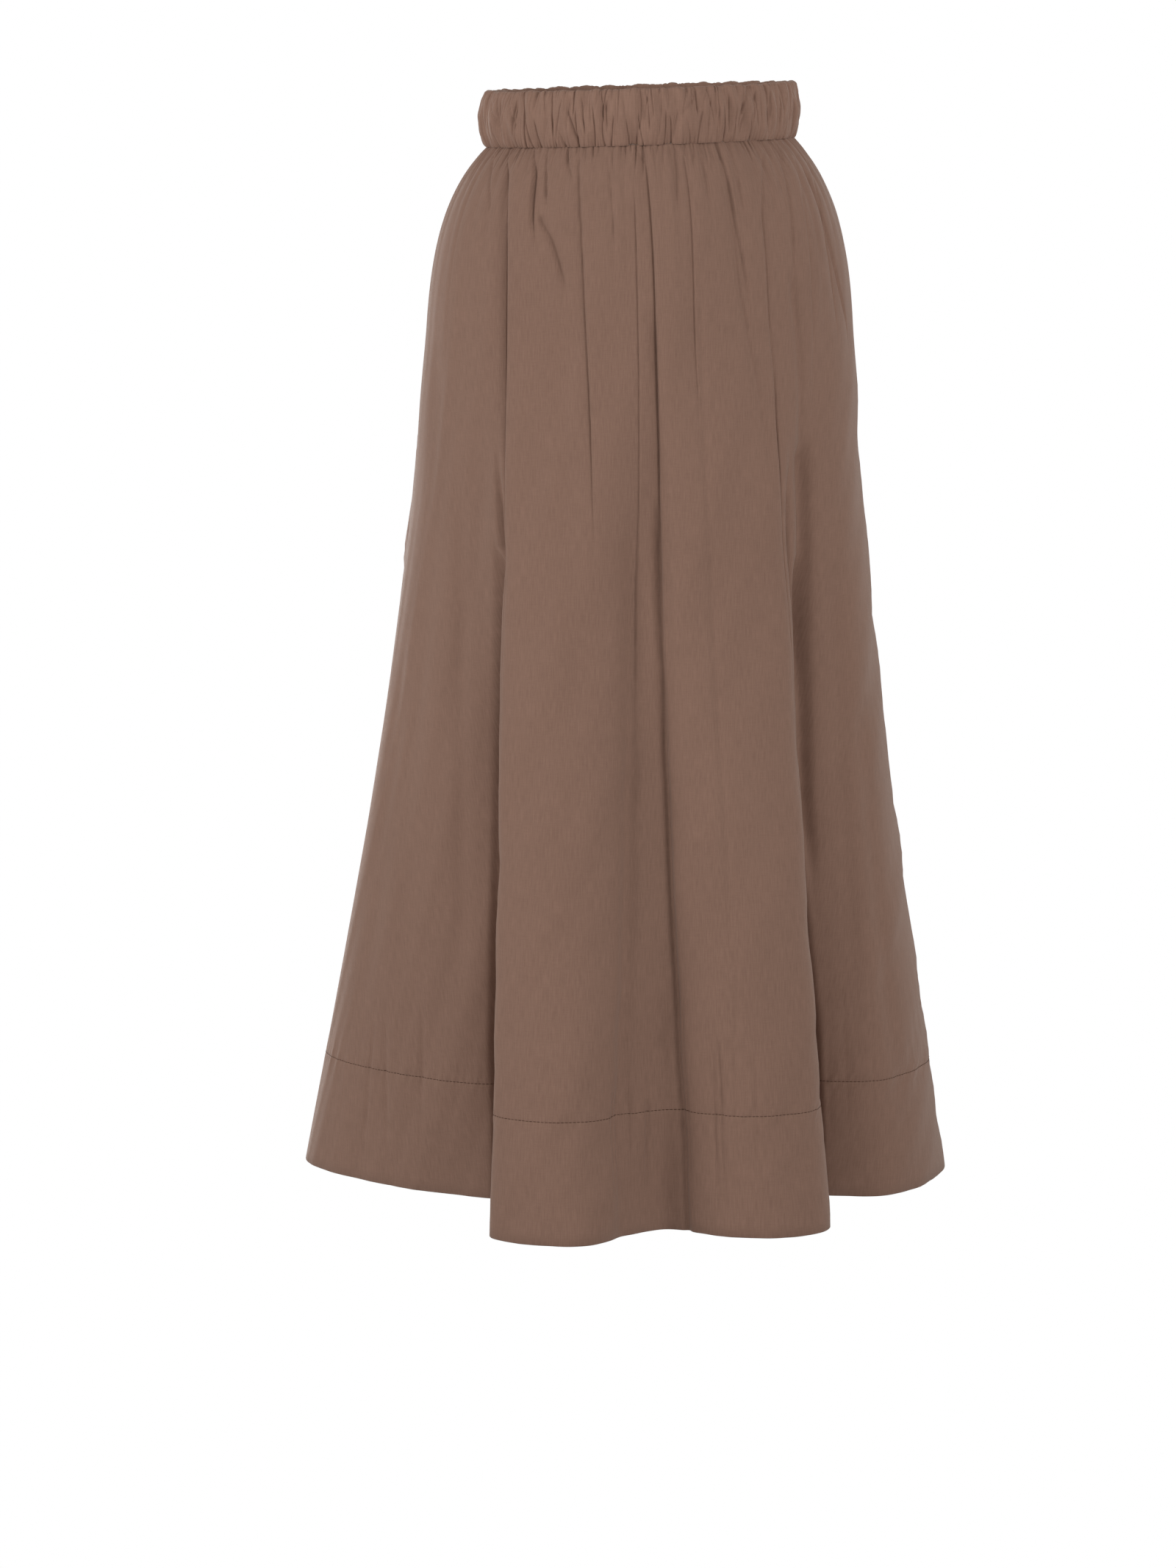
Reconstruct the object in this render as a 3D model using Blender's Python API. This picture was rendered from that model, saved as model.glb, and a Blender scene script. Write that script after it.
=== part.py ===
"""A midi skirt, as worn: a ruched elastic waistband and two flared panels gathered into it.

Metres, +Z up, the front faces -Y, +X is to the right as seen from the front. The origin is the middle of the
waistband, where the wearer holds the skirt up. Cloth lines run from the waist to the hem. Each row of FOLDS is one
such line: a ridge, a flank or a valley of the cloth, named by where it is at the waist, at the hip and at the hem.
"""

import math
from collections import namedtuple

import bmesh
import bpy
import numpy as np

# Driving sizes
WAIST_HALF_WIDTH = 0.1265
WAIST_HALF_DEPTH = 0.1000
WAIST_TILT = math.radians(1.8)  # the waistband sits a little higher on +X
HIP_HALF_WIDTH = 0.1800
HIP_HALF_DEPTH_FRONT = 0.1180
HIP_HALF_DEPTH_BACK = 0.1340
HEM_Z = -0.9000
HEM_DEPTH = 0.0980
SEAM_GAP = 0.0003

# Cloth
BAND_HEIGHT = 0.0455
BAND_WALL = 0.0034  # two layers of cloth over the elastic
BAND_BULGE = 0.0044
CLOTH_WALL = 0.0015
HEM_WALL = 0.0027  # the turned-up hem lies double
STITCH_STEP = 0.0025  # height in which the hem's second layer begins

# How the shape changes on the way down from the waist seam
HIP_EASE = 0.055  # drop in which most of the widening to the hip is done
FLARE_START = 0.150
MID_DROP = 0.360  # where mid_out of FOLDS is felt most
MID_REACH = 0.150
U_STEP = 0.01  # part of a fold over which the cloth's direction is measured

# Gathers
GATHERS = 64
GATHER_DEPTH = 0.0017
GATHER_FADE = (0.025, 0.085)  # shortest and longest drop in which a gather fades
GATHER_FALL = 1.3  # how suddenly a gather fades once its length is reached
GATHER_SEED = 7
GATHER_SCATTER = 0.26  # share of the pitch by which a gather may be off its even place
GATHER_DEPTHS = (0.55, 1.15)  # smallest and largest share of GATHER_DEPTH
VALLEY_ROUNDING = 0.01  # keeps the bottom of a gather's valley from being a knife edge
COLUMNS_PER_GATHER = 4
COLUMNS_PER_FOLD = 3
FINE_SAMPLES = 2000
SHARP_ANGLE = math.radians(50)

BAND_COLOUR = (0.216, 0.130, 0.093, 1.0)
CLOTH_COLOUR = (0.226, 0.136, 0.099, 1.0)
CLOTH_ROUGHNESS = 0.85

# Angles are round the oval in degrees from the middle of the front, positive to +X. mid_out pushes the line out
# at mid height, power bends its flare (1 is straight), and hem_x, hem_y place it in the hem's outline.
Fold = namedtuple("Fold", "name waist_deg hip_deg mid_out power hem_x hem_y")
FOLDS = (
    Fold("left seam", -94.0, -96.0, 0.000, 1.35, -0.289, 0.095),
    Fold("left corner", -87.0, -88.0, 0.000, 1.35, -0.296, 0.050),
    Fold("left section outer", -79.5, -78.0, 0.000, 1.35, -0.255, 0.005),
    Fold("left section inner", -71.5, -67.5, 0.000, 1.35, -0.195, -0.044),
    Fold("left valley outer", -63.5, -56.5, 0.000, 1.35, -0.128, -0.076),
    Fold("left valley inner", -58.0, -49.0, 0.000, 1.35, -0.090, -0.086),
    Fold("left flute wall", -54.0, -43.5, 0.000, 1.35, -0.098, -0.145),
    Fold("left flute edge", -50.0, -38.0, 0.000, 1.35, -0.133, -0.204),
    Fold("left lobe outer", -41.0, -30.0, 0.000, 1.25, -0.096, -0.229),
    Fold("left lobe inner", -24.0, -17.5, 0.000, 1.25, -0.046, -0.238),
    Fold("centre valley left", -6.0, -3.0, 0.000, 1.25, -0.014, -0.206),
    Fold("centre valley", 1.0, 2.0, 0.000, 1.25, 0.019, -0.166),
    Fold("centre valley right", 7.0, 6.5, 0.000, 1.25, 0.048, -0.192),
    Fold("right lobe inner", 19.0, 16.5, 0.000, 1.25, 0.092, -0.212),
    Fold("right lobe outer", 33.0, 28.5, 0.000, 1.20, 0.138, -0.200),
    Fold("right flute edge", 43.0, 37.0, 0.000, 1.15, 0.164, -0.170),
    Fold("right flute wall", 48.0, 43.0, 0.000, 1.20, 0.139, -0.118),
    Fold("right valley inner", 53.0, 48.5, 0.000, 1.30, 0.124, -0.070),
    Fold("right valley outer", 60.0, 57.0, 0.000, 1.35, 0.162, -0.064),
    Fold("right section inner", 68.0, 67.0, 0.000, 1.35, 0.210, -0.073),
    Fold("right section outer", 77.0, 77.5, 0.000, 1.35, 0.250, -0.022),
    Fold("right corner", 85.0, 87.0, 0.000, 1.35, 0.269, 0.044),
    Fold("right seam", 93.0, 96.0, 0.000, 1.35, 0.260, 0.096),
    Fold("right back valley", 102.0, 105.0, 0.004, 1.30, 0.224, 0.124),
    Fold("right back lobe outer", 111.0, 113.0, 0.010, 1.20, 0.204, 0.168),
    Fold("right back lobe tip", 121.0, 122.0, 0.008, 1.20, 0.222, 0.240),
    Fold("right back lobe inner", 131.0, 131.0, 0.000, 1.25, 0.156, 0.260),
    Fold("back valley right", 140.5, 140.0, -0.004, 1.30, 0.110, 0.180),
    Fold("centre back lobe right", 149.0, 148.0, 0.000, 1.25, 0.086, 0.236),
    Fold("centre back lobe tip", 159.0, 158.0, 0.004, 1.25, 0.052, 0.302),
    Fold("centre back lobe left", 169.0, 168.0, 0.000, 1.25, 0.000, 0.266),
    Fold("back valley centre", 179.0, 178.5, -0.005, 1.30, -0.020, 0.202),
    Fold("left centre lobe right", 189.0, 189.0, 0.000, 1.25, -0.056, 0.246),
    Fold("left centre lobe left", 200.0, 200.5, 0.004, 1.25, -0.110, 0.290),
    Fold("back valley left", 211.0, 211.5, -0.004, 1.30, -0.144, 0.212),
    Fold("back valley far left", 221.0, 221.5, 0.000, 1.30, -0.162, 0.160),
    Fold("left back lobe inner", 231.5, 231.0, 0.005, 1.20, -0.212, 0.208),
    Fold("left back lobe tip", 243.0, 242.0, 0.013, 1.20, -0.262, 0.206),
    Fold("left back lobe outer", 255.0, 253.0, 0.018, 1.25, -0.240, 0.128),
)
LEFT_SEAM = 0
RIGHT_SEAM = 22
FULL_TURN = 360.0

# Creases that run on below the gathers. Each follows the cloth line that is at this angle at the hip, from its top
# to its end, and is a valley this deep and this wide on each side. lean makes the +X side the steeper one.
Crease = namedtuple("Crease", "name top_deg end_deg top_drop end_drop depth width lean")
CREASES = (
    Crease("left flute crease", -41.0, -41.0, 0.010, 0.700, 0.0050, 0.0060, 0.35),
    Crease("right flute crease", 40.5, 40.5, 0.010, 0.700, 0.0050, 0.0060, -0.35),
    Crease("far left pucker", -55.0, -44.0, 0.000, 0.065, 0.0028, 0.0035, 0.00),
    Crease("left pucker", -29.6, -28.4, 0.000, 0.075, 0.0032, 0.0035, 0.20),
    Crease("left pucker tail", -28.4, -20.0, 0.060, 0.125, 0.0026, 0.0045, 0.20),
    Crease("left short pucker", -24.4, -24.4, 0.000, 0.055, 0.0030, 0.0035, 0.00),
    Crease("left lobe crease", -14.3, -11.5, 0.000, 0.360, 0.0046, 0.0055, 0.30),
    Crease("centre left crease", -9.2, -6.2, 0.000, 0.100, 0.0028, 0.0040, 0.10),
    Crease("centre soft crease", -1.0, -1.0, 0.050, 0.500, 0.0032, 0.0090, 0.00),
    Crease("centre crease", 3.4, 4.2, 0.000, 0.780, 0.0058, 0.0060, -0.25),
    Crease("centre right pucker", 9.8, 9.0, 0.000, 0.085, 0.0028, 0.0035, 0.00),
    Crease("right lobe crease", 13.8, 15.0, 0.000, 0.260, 0.0040, 0.0050, 0.20),
    Crease("right slanting crease", 24.8, 30.0, 0.000, 0.130, 0.0032, 0.0045, 0.00),
    Crease("right slanting tail", 25.0, 35.5, 0.060, 0.270, 0.0030, 0.0060, 0.00),
    Crease("right edge pucker", 55.5, 48.5, 0.000, 0.060, 0.0028, 0.0035, 0.00),
    Crease("right section crease", 57.0, 54.0, 0.010, 0.220, 0.0038, 0.0055, -0.20),
    Crease("right side crease", 66.5, 66.0, 0.015, 0.200, 0.0030, 0.0060, 0.00),
    Crease("left side crease", -72.0, -70.0, 0.010, 0.160, 0.0024, 0.0060, 0.00),
    Crease("right back crease 1", 107.0, 108.0, 0.000, 0.300, 0.0046, 0.0060, 0.20),
    Crease("right back crease 2", 118.0, 116.0, 0.000, 0.120, 0.0032, 0.0045, 0.00),
    Crease("right back crease 3", 127.5, 128.5, 0.010, 0.230, 0.0040, 0.0055, -0.20),
    Crease("right back crease 4", 139.0, 140.0, 0.000, 0.560, 0.0052, 0.0065, 0.20),
    Crease("back crease 1", 151.5, 150.0, 0.000, 0.140, 0.0034, 0.0045, 0.00),
    Crease("back crease 2", 163.0, 165.5, 0.010, 0.280, 0.0042, 0.0055, 0.20),
    Crease("back crease 3", 178.0, 178.5, 0.000, 0.640, 0.0054, 0.0065, -0.20),
    Crease("back crease 4", 188.0, 190.5, 0.000, 0.110, 0.0030, 0.0040, 0.00),
    Crease("back crease 5", 197.0, 196.0, 0.010, 0.250, 0.0042, 0.0055, 0.20),
    Crease("left back crease 1", 211.0, 213.0, 0.000, 0.500, 0.0052, 0.0065, 0.20),
    Crease("left back crease 2", 224.0, 222.0, 0.000, 0.150, 0.0034, 0.0045, 0.00),
    Crease("left back crease 3", 235.0, 236.5, 0.010, 0.320, 0.0044, 0.0060, -0.20),
    Crease("left back crease 4", 249.5, 248.0, 0.000, 0.260, 0.0040, 0.0060, 0.00),
)
CREASE_SPREAD = 0.040  # a crease gets wider by this share of the drop
CREASE_FADE = 0.35  # share of its length in which a crease fades out
CREASE_START = 0.012  # drop below the waist seam in which the creases set in
CREASE_LEAD = 0.1  # share of its length, above its top, in which a crease begins
ARC_GROWTH = 0.15  # how much the radius at which creases are measured grows with the drop

# Rows of the panels, as drops below the waist seam. Those of GATHER_ROWS have a column for each side of each gather.
GATHER_ROWS = (0.0, 0.008, 0.028, 0.062, 0.105)
FLARE_ROWS = (0.160, 0.230, 0.310, 0.400, 0.500, 0.600, 0.700)
HEM_ROWS = 2

# The waistband's section, once round: share of the wall inwards, share of the height upwards, share of the bulge
# and share of the gathers' depth
BandPoint = namedtuple("BandPoint", "inward upward bulge gathers")
BAND_SECTION = (
    BandPoint(0.00, -0.50, 0.10, 0.6),
    BandPoint(0.00, -0.24, 0.86, 1.0),
    BandPoint(0.00, 0.06, 1.00, 1.0),
    BandPoint(0.00, 0.36, 0.48, 0.9),
    BandPoint(0.45, 0.50, -0.10, 0.5),
    BandPoint(1.00, 0.42, -0.20, 0.2),
    BandPoint(1.00, -0.47, -0.20, 0.2),
)

COUNT = len(FOLDS)
SEAM_Z = -BAND_HEIGHT / 2 - SEAM_GAP


def fold_column(name):
    return np.array([getattr(fold, name) for fold in FOLDS])


def spline(values, u, turn=0.0):
    """A closed cubic B-spline with these control values at u = 0, 1, 2 and so on. turn is added once round."""
    u = np.asarray(u, float)
    first = np.floor(u).astype(int)
    f = u - first
    weights = (
        (1 - f) ** 3 / 6,
        (3 * f**3 - 6 * f**2 + 4) / 6,
        (-3 * f**3 + 3 * f**2 + 3 * f + 1) / 6,
        f**3 / 6,
    )
    total = np.zeros_like(u)
    for step, weight in zip((-1, 0, 1, 2), weights):
        index = first + step
        total += weight * (values[index % COUNT] + turn * (index // COUNT))
    return total


def widening(drop):
    """How much of the way from the waist's oval to the hip's is done at this drop."""
    return 1 - np.exp(-np.asarray(drop, float) / HIP_EASE)


def full_drop():
    return SEAM_Z - HEM_Z


def flare(u, drop):
    """How much of the way from the hip's oval to the hem's outline is done."""
    share = np.clip((drop - FLARE_START) / (full_drop() - FLARE_START), 0, None)
    return share ** spline(fold_column("power"), u)


def waist_degrees(u):
    return spline(fold_column("waist_deg"), u, FULL_TURN)


def hip_degrees(u):
    return spline(fold_column("hip_deg"), u, FULL_TURN)


def oval(degrees, half_width, half_front, half_back):
    angle = np.radians(degrees)
    depth = np.where(np.cos(angle) > 0, half_front, half_back)
    return np.stack([half_width * np.sin(angle), -depth * np.cos(angle)], axis=-1)


def outline(u, drop):
    """The smooth cloth's plan at this drop, x and y for each u."""
    wide = widening(drop)
    degrees = waist_degrees(u) * (1 - wide) + hip_degrees(u) * wide
    upper = oval(
        degrees,
        WAIST_HALF_WIDTH + (HIP_HALF_WIDTH - WAIST_HALF_WIDTH) * wide,
        WAIST_HALF_DEPTH + (HIP_HALF_DEPTH_FRONT - WAIST_HALF_DEPTH) * wide,
        WAIST_HALF_DEPTH + (HIP_HALF_DEPTH_BACK - WAIST_HALF_DEPTH) * wide,
    )
    swell = math.exp(-(((drop - MID_DROP) / MID_REACH) ** 2))
    angle = np.radians(degrees)
    outward = np.stack([np.sin(angle), -np.cos(angle)], axis=-1)
    upper = upper + outward * (spline(fold_column("mid_out"), u) * swell)[:, None]
    hem = np.stack([spline(fold_column("hem_x"), u), spline(fold_column("hem_y"), u)], axis=-1)
    share = flare(u, drop)[:, None]
    return upper * (1 - share) + hem * share


def outward_of(curve_before, curve_after):
    along = curve_after - curve_before
    normal = np.stack([along[:, 1], -along[:, 0]], axis=-1)
    return normal / np.linalg.norm(normal, axis=1)[:, None]


def gather_table():
    """The gathers' places in degrees, depths and fading lengths, uneven but the same each time."""
    random = np.random.default_rng(GATHER_SEED)
    pitch = FULL_TURN / GATHERS
    places = (np.arange(GATHERS) + random.uniform(-GATHER_SCATTER, GATHER_SCATTER, GATHERS)) * pitch
    depths = GATHER_DEPTH * random.uniform(*GATHER_DEPTHS, GATHERS)
    fades = random.uniform(*GATHER_FADE, GATHERS)
    return places, depths, fades


def gather_phase(degrees):
    """Which gather this is, as a number that grows by 1 from each valley to the next."""
    places, _, _ = gather_table()
    reach = np.concatenate([places - FULL_TURN, places, places + FULL_TURN])
    return np.interp(np.asarray(degrees) % FULL_TURN, reach, np.arange(-GATHERS, 2 * GATHERS))


def ridge_and_valley(phase):
    """A round ridge between narrow valleys, from -1 in a valley to 1 on a ridge."""
    return 2 * np.sqrt(np.sin(np.pi * phase) ** 2 + VALLEY_ROUNDING) - 1


def gather_relief(u, drop):
    """How far the gathers stand out (or in, below 0) at this drop. Each follows its own cloth line down."""
    _, depths, fades = gather_table()
    phase = gather_phase(waist_degrees(u))
    index = np.floor(phase).astype(int) % GATHERS
    follow = (index + 1) % GATHERS
    part = phase - np.floor(phase)
    fade = fades[index] * (1 - part) + fades[follow] * part
    depth = depths[index] * (1 - part) + depths[follow] * part
    return depth * ridge_and_valley(phase) * np.exp(-((drop / fade) ** GATHER_FALL))


def crease_relief(u, drop):
    """How far the creases stand in. At the waist seam, which the waistband holds round, there are none."""
    degrees = hip_degrees(u)
    freed = 1 - math.exp(-drop / CREASE_START)
    total = np.zeros_like(degrees)
    for crease in CREASES:
        length = crease.end_drop - crease.top_drop
        share = (drop - crease.top_drop) / length
        if not -CREASE_LEAD < share < 1:
            continue
        centre = crease.top_deg + (crease.end_deg - crease.top_deg) * np.clip(share, 0, 1)
        arc = math.radians(1) * (WAIST_HALF_WIDTH + drop * ARC_GROWTH)
        off = ((degrees - centre + FULL_TURN / 2) % FULL_TURN - FULL_TURN / 2) * arc
        width = crease.width + CREASE_SPREAD * drop
        side = np.where(off > 0, 1 - crease.lean, 1 + crease.lean)
        fade = min(1.0, (1 - share) / CREASE_FADE) * min(1.0, 1 + share / CREASE_LEAD)
        total -= crease.depth * freed * fade / (1 + (off / (width * side)) ** 2)
    return total


def panel_row(first_u, last_u, columns, drop, wall):
    """One row of points of a panel, from seam to seam, this far inside the cloth's outer face."""
    seams = np.array([first_u, last_u])
    cloth_per_u = np.linalg.norm(outline(seams + U_STEP, drop) - outline(seams, drop), axis=1) / U_STEP
    inset = SEAM_GAP / 2 / cloth_per_u
    u = np.clip(columns, first_u + inset[0], last_u - inset[1])
    normal = outward_of(outline(u - U_STEP, drop), outline(u + U_STEP, drop))
    relief = gather_relief(u, drop) + crease_relief(u, drop)
    plan = outline(u, drop) + normal * (relief - wall)[:, None]
    share = drop / full_drop()
    top = SEAM_Z + WAIST_HALF_WIDTH * np.sin(np.radians(waist_degrees(u))) * math.tan(WAIST_TILT)
    return np.column_stack([plan, top * (1 - share) + HEM_Z * share])


def gather_columns(first_u, last_u):
    """Columns of a panel that follow the gathers: each valley, each ridge and their flanks."""
    fine = np.linspace(first_u, last_u, FINE_SAMPLES)
    phase = np.unwrap(gather_phase(waist_degrees(fine)), period=GATHERS)
    first, last = phase[0] * COLUMNS_PER_GATHER, phase[-1] * COLUMNS_PER_GATHER
    wanted = np.arange(math.ceil(first), last) / COLUMNS_PER_GATHER
    inner = np.interp(wanted, phase, fine)
    return np.concatenate([[first_u], inner[1:-1], [last_u]])


def fold_columns(first_u, last_u):
    return np.linspace(first_u, last_u, (last_u - first_u) * COLUMNS_PER_FOLD + 1)


def add_strip(bm, upper, lower, upper_at, lower_at, flip):
    """Triangles between two rows, which may have different columns."""
    i = j = 0
    while i < len(upper) - 1 or j < len(lower) - 1:
        down = i == len(upper) - 1 or (j < len(lower) - 1 and lower_at[j + 1] <= upper_at[i + 1])
        corners = [upper[i], lower[j], lower[j + 1]] if down else [upper[i], lower[j], upper[i + 1]]
        bm.faces.new(corners[::-1] if flip else corners)
        i, j = (i, j + 1) if down else (i + 1, j)


def panel_levels():
    """Each row of a panel: its drop, its wall and whether its columns follow the gathers."""
    stitch = full_drop() - HEM_DEPTH
    levels = [(drop, CLOTH_WALL, True) for drop in GATHER_ROWS]
    levels += [(drop, CLOTH_WALL, False) for drop in FLARE_ROWS]
    levels.append((stitch, CLOTH_WALL, False))
    for step in range(HEM_ROWS):
        drop = stitch + STITCH_STEP + (HEM_DEPTH - STITCH_STEP) * step / (HEM_ROWS - 1)
        levels.append((drop, HEM_WALL, False))
    return levels


def add_panel(name, first_u, last_u, material):
    fine, coarse = gather_columns(first_u, last_u), fold_columns(first_u, last_u)
    bm = bmesh.new()
    outer, inner, places = [], [], []
    for drop, wall, gathered in panel_levels():
        columns = fine if gathered else coarse
        places.append(columns)
        for rows, depth in ((outer, 0.0), (inner, wall)):
            points = panel_row(first_u, last_u, columns, drop, depth)
            rows.append([bm.verts.new(point) for point in points])
    for k in range(len(outer) - 1):
        add_strip(bm, outer[k], outer[k + 1], places[k], places[k + 1], False)
        add_strip(bm, inner[k], inner[k + 1], places[k], places[k + 1], True)
        for end in (0, -1):
            bm.faces.new([outer[k][end], outer[k + 1][end], inner[k + 1][end], inner[k][end]])
    for k in (0, -1):
        add_strip(bm, outer[k], inner[k], places[k], places[k], k == 0)
    return finish_mesh(bm, name, material)


def add_waistband(material):
    """The casing: a ring of the section in BAND_SECTION, ruched all round."""
    bm = bmesh.new()
    count = GATHERS * COLUMNS_PER_GATHER
    places, depths, _ = gather_table()
    phase = np.arange(count) / COLUMNS_PER_GATHER
    reach = np.append(places, places[0] + FULL_TURN)
    degrees = np.interp(phase, np.arange(GATHERS + 1), reach)
    depth = np.interp(phase, np.arange(GATHERS + 1), np.append(depths, depths[0]))
    wave = depth * ridge_and_valley(phase)
    base = oval(degrees, WAIST_HALF_WIDTH, WAIST_HALF_DEPTH, WAIST_HALF_DEPTH)
    outward = outward_of(np.roll(base, 1, axis=0), np.roll(base, -1, axis=0))
    rings = []
    for point in BAND_SECTION:
        out = point.bulge * BAND_BULGE - point.inward * BAND_WALL + point.gathers * wave
        plan = base + outward * out[:, None]
        lift = point.upward * BAND_HEIGHT + base[:, 0] * math.tan(WAIST_TILT)
        rings.append([bm.verts.new(place) for place in np.column_stack([plan, lift])])
    for k, ring in enumerate(rings):
        after = rings[(k + 1) % len(rings)]
        for i in range(count):
            j = (i + 1) % count
            bm.faces.new([ring[i], ring[j], after[j]])
            bm.faces.new([ring[i], after[j], after[i]])
    return finish_mesh(bm, "waistband", material)


def finish_mesh(bm, name, material):
    bmesh.ops.recalc_face_normals(bm, faces=bm.faces)
    mesh = bpy.data.meshes.new(name)
    bm.to_mesh(mesh)
    bm.free()
    mesh.shade_smooth()
    mesh.set_sharp_from_angle(angle=SHARP_ANGLE)
    mesh.materials.append(material)
    piece = bpy.data.objects.new(name, mesh)
    bpy.context.scene.collection.objects.link(piece)
    return piece


def cloth_material(name, colour):
    material = bpy.data.materials.new(name)
    material.use_nodes = True
    shader = material.node_tree.nodes["Principled BSDF"]
    shader.inputs["Base Color"].default_value = colour
    shader.inputs["Roughness"].default_value = CLOTH_ROUGHNESS
    shader.inputs["Metallic"].default_value = 0.0
    return material


def main():
    for item in list(bpy.data.objects):
        bpy.data.objects.remove(item, do_unlink=True)
    panel_cloth = cloth_material("panel_cloth", CLOTH_COLOUR)
    pieces = [
        add_waistband(cloth_material("band_cloth", BAND_COLOUR)),
        add_panel("front_panel", LEFT_SEAM, RIGHT_SEAM, panel_cloth),
        add_panel("back_panel", RIGHT_SEAM, COUNT, panel_cloth),
    ]
    skirt = bpy.data.objects.new("skirt", None)
    bpy.context.scene.collection.objects.link(skirt)
    for piece in pieces:
        piece.parent = skirt


main()
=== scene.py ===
"""The looks of the midi skirt: cloth, gathers, creases, seams and stitches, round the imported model.

Metres, +Z up, the front faces -Y, +X is to the right as seen from the front. The origin is the middle of the
waistband. The large form repeats the sizes and folds of the model's own source, and the cloth's rows are made
from it. A "drop" is measured down from the waist seam, and a cloth line is named by its angle at the hip.
"""

import math
from collections import namedtuple

import bpy
import numpy as np
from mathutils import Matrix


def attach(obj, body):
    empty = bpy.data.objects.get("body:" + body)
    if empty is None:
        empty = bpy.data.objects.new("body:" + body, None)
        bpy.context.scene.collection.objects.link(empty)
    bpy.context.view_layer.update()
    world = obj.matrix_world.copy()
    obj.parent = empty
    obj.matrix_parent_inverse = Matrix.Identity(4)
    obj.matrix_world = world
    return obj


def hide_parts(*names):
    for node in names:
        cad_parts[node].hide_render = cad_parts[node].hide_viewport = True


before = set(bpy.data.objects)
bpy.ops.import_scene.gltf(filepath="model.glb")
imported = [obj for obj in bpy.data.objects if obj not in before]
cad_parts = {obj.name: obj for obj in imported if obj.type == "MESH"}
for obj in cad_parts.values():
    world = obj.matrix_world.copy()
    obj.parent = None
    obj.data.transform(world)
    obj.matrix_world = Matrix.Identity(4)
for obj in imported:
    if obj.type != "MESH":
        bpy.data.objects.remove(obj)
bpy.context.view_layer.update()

MM = 0.001

# Driving sizes, as in the model's source
WAIST_HALF_WIDTH = 0.1265
WAIST_HALF_DEPTH = 0.1000
WAIST_TILT = math.radians(1.8)
HIP_HALF_WIDTH = 0.1800
HIP_HALF_DEPTH_FRONT = 0.1180
HIP_HALF_DEPTH_BACK = 0.1340
HEM_Z = -0.9000
HEM_DEPTH = 0.0980
SEAM_GAP = 0.0003
SEAM_CLOSE = 0.0018  # how far the inner skin's top runs up into the waistband, to shut out light
BAND_HEIGHT = 0.0455
BAND_WALL = 0.0034
BAND_BULGE = 0.0044
HIP_EASE = 0.055
FLARE_START = 0.150
MID_DROP = 0.360
MID_REACH = 0.150
U_STEP = 0.01
U_SLACK = 1e-9
FULL_TURN = 360.0

# The cut, for the weave's coordinates and the sheets' sizes
FRONT_TOP_CUT = 0.56
FRONT_HEM_CUT = 1.09
BACK_TOP_CUT = 0.52
BACK_HEM_CUT = 0.91
BAND_CUT = 1.00

# The cloth in this scene
WALL = 0.0009
HEM_WALL = 0.0018
EDGE_ROUND = 0.0008  # radius of the folded edges at the hem and the seams
FRONT_COLUMNS = 601
BACK_COLUMNS = 501
BAND_COLUMNS = 1560
BAND_FRONT_GAIN = 1.3  # the columns in front lie this much closer together, and 1 more
HEM_SHARE = 0.35  # how far the columns are spread by the hem's width instead of the hip's angle
CLOSE_LINES = (-38, -13.5, -0.9, 4.4, 14.7, 36.5, 108, 128, 140, 165, 178.5, 196, 213, 236)
CLOSE_REACH = 1.6  # degrees beside these lines in which the columns lie closer together
CLOSE_GAIN = 2.2
INNER_STEP = 2  # the inner skin has every second column and row of the outer one
FINE_STEPS = 3000  # steps from which a curve's columns are picked
LEAD_U = 1.5  # the ring of cloth runs on this far past its two ends, in this many steps
LEAD_STEPS = 39
TOP_TUCK = 0.0001
TOP_TUCK_REACH = 0.0016

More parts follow.
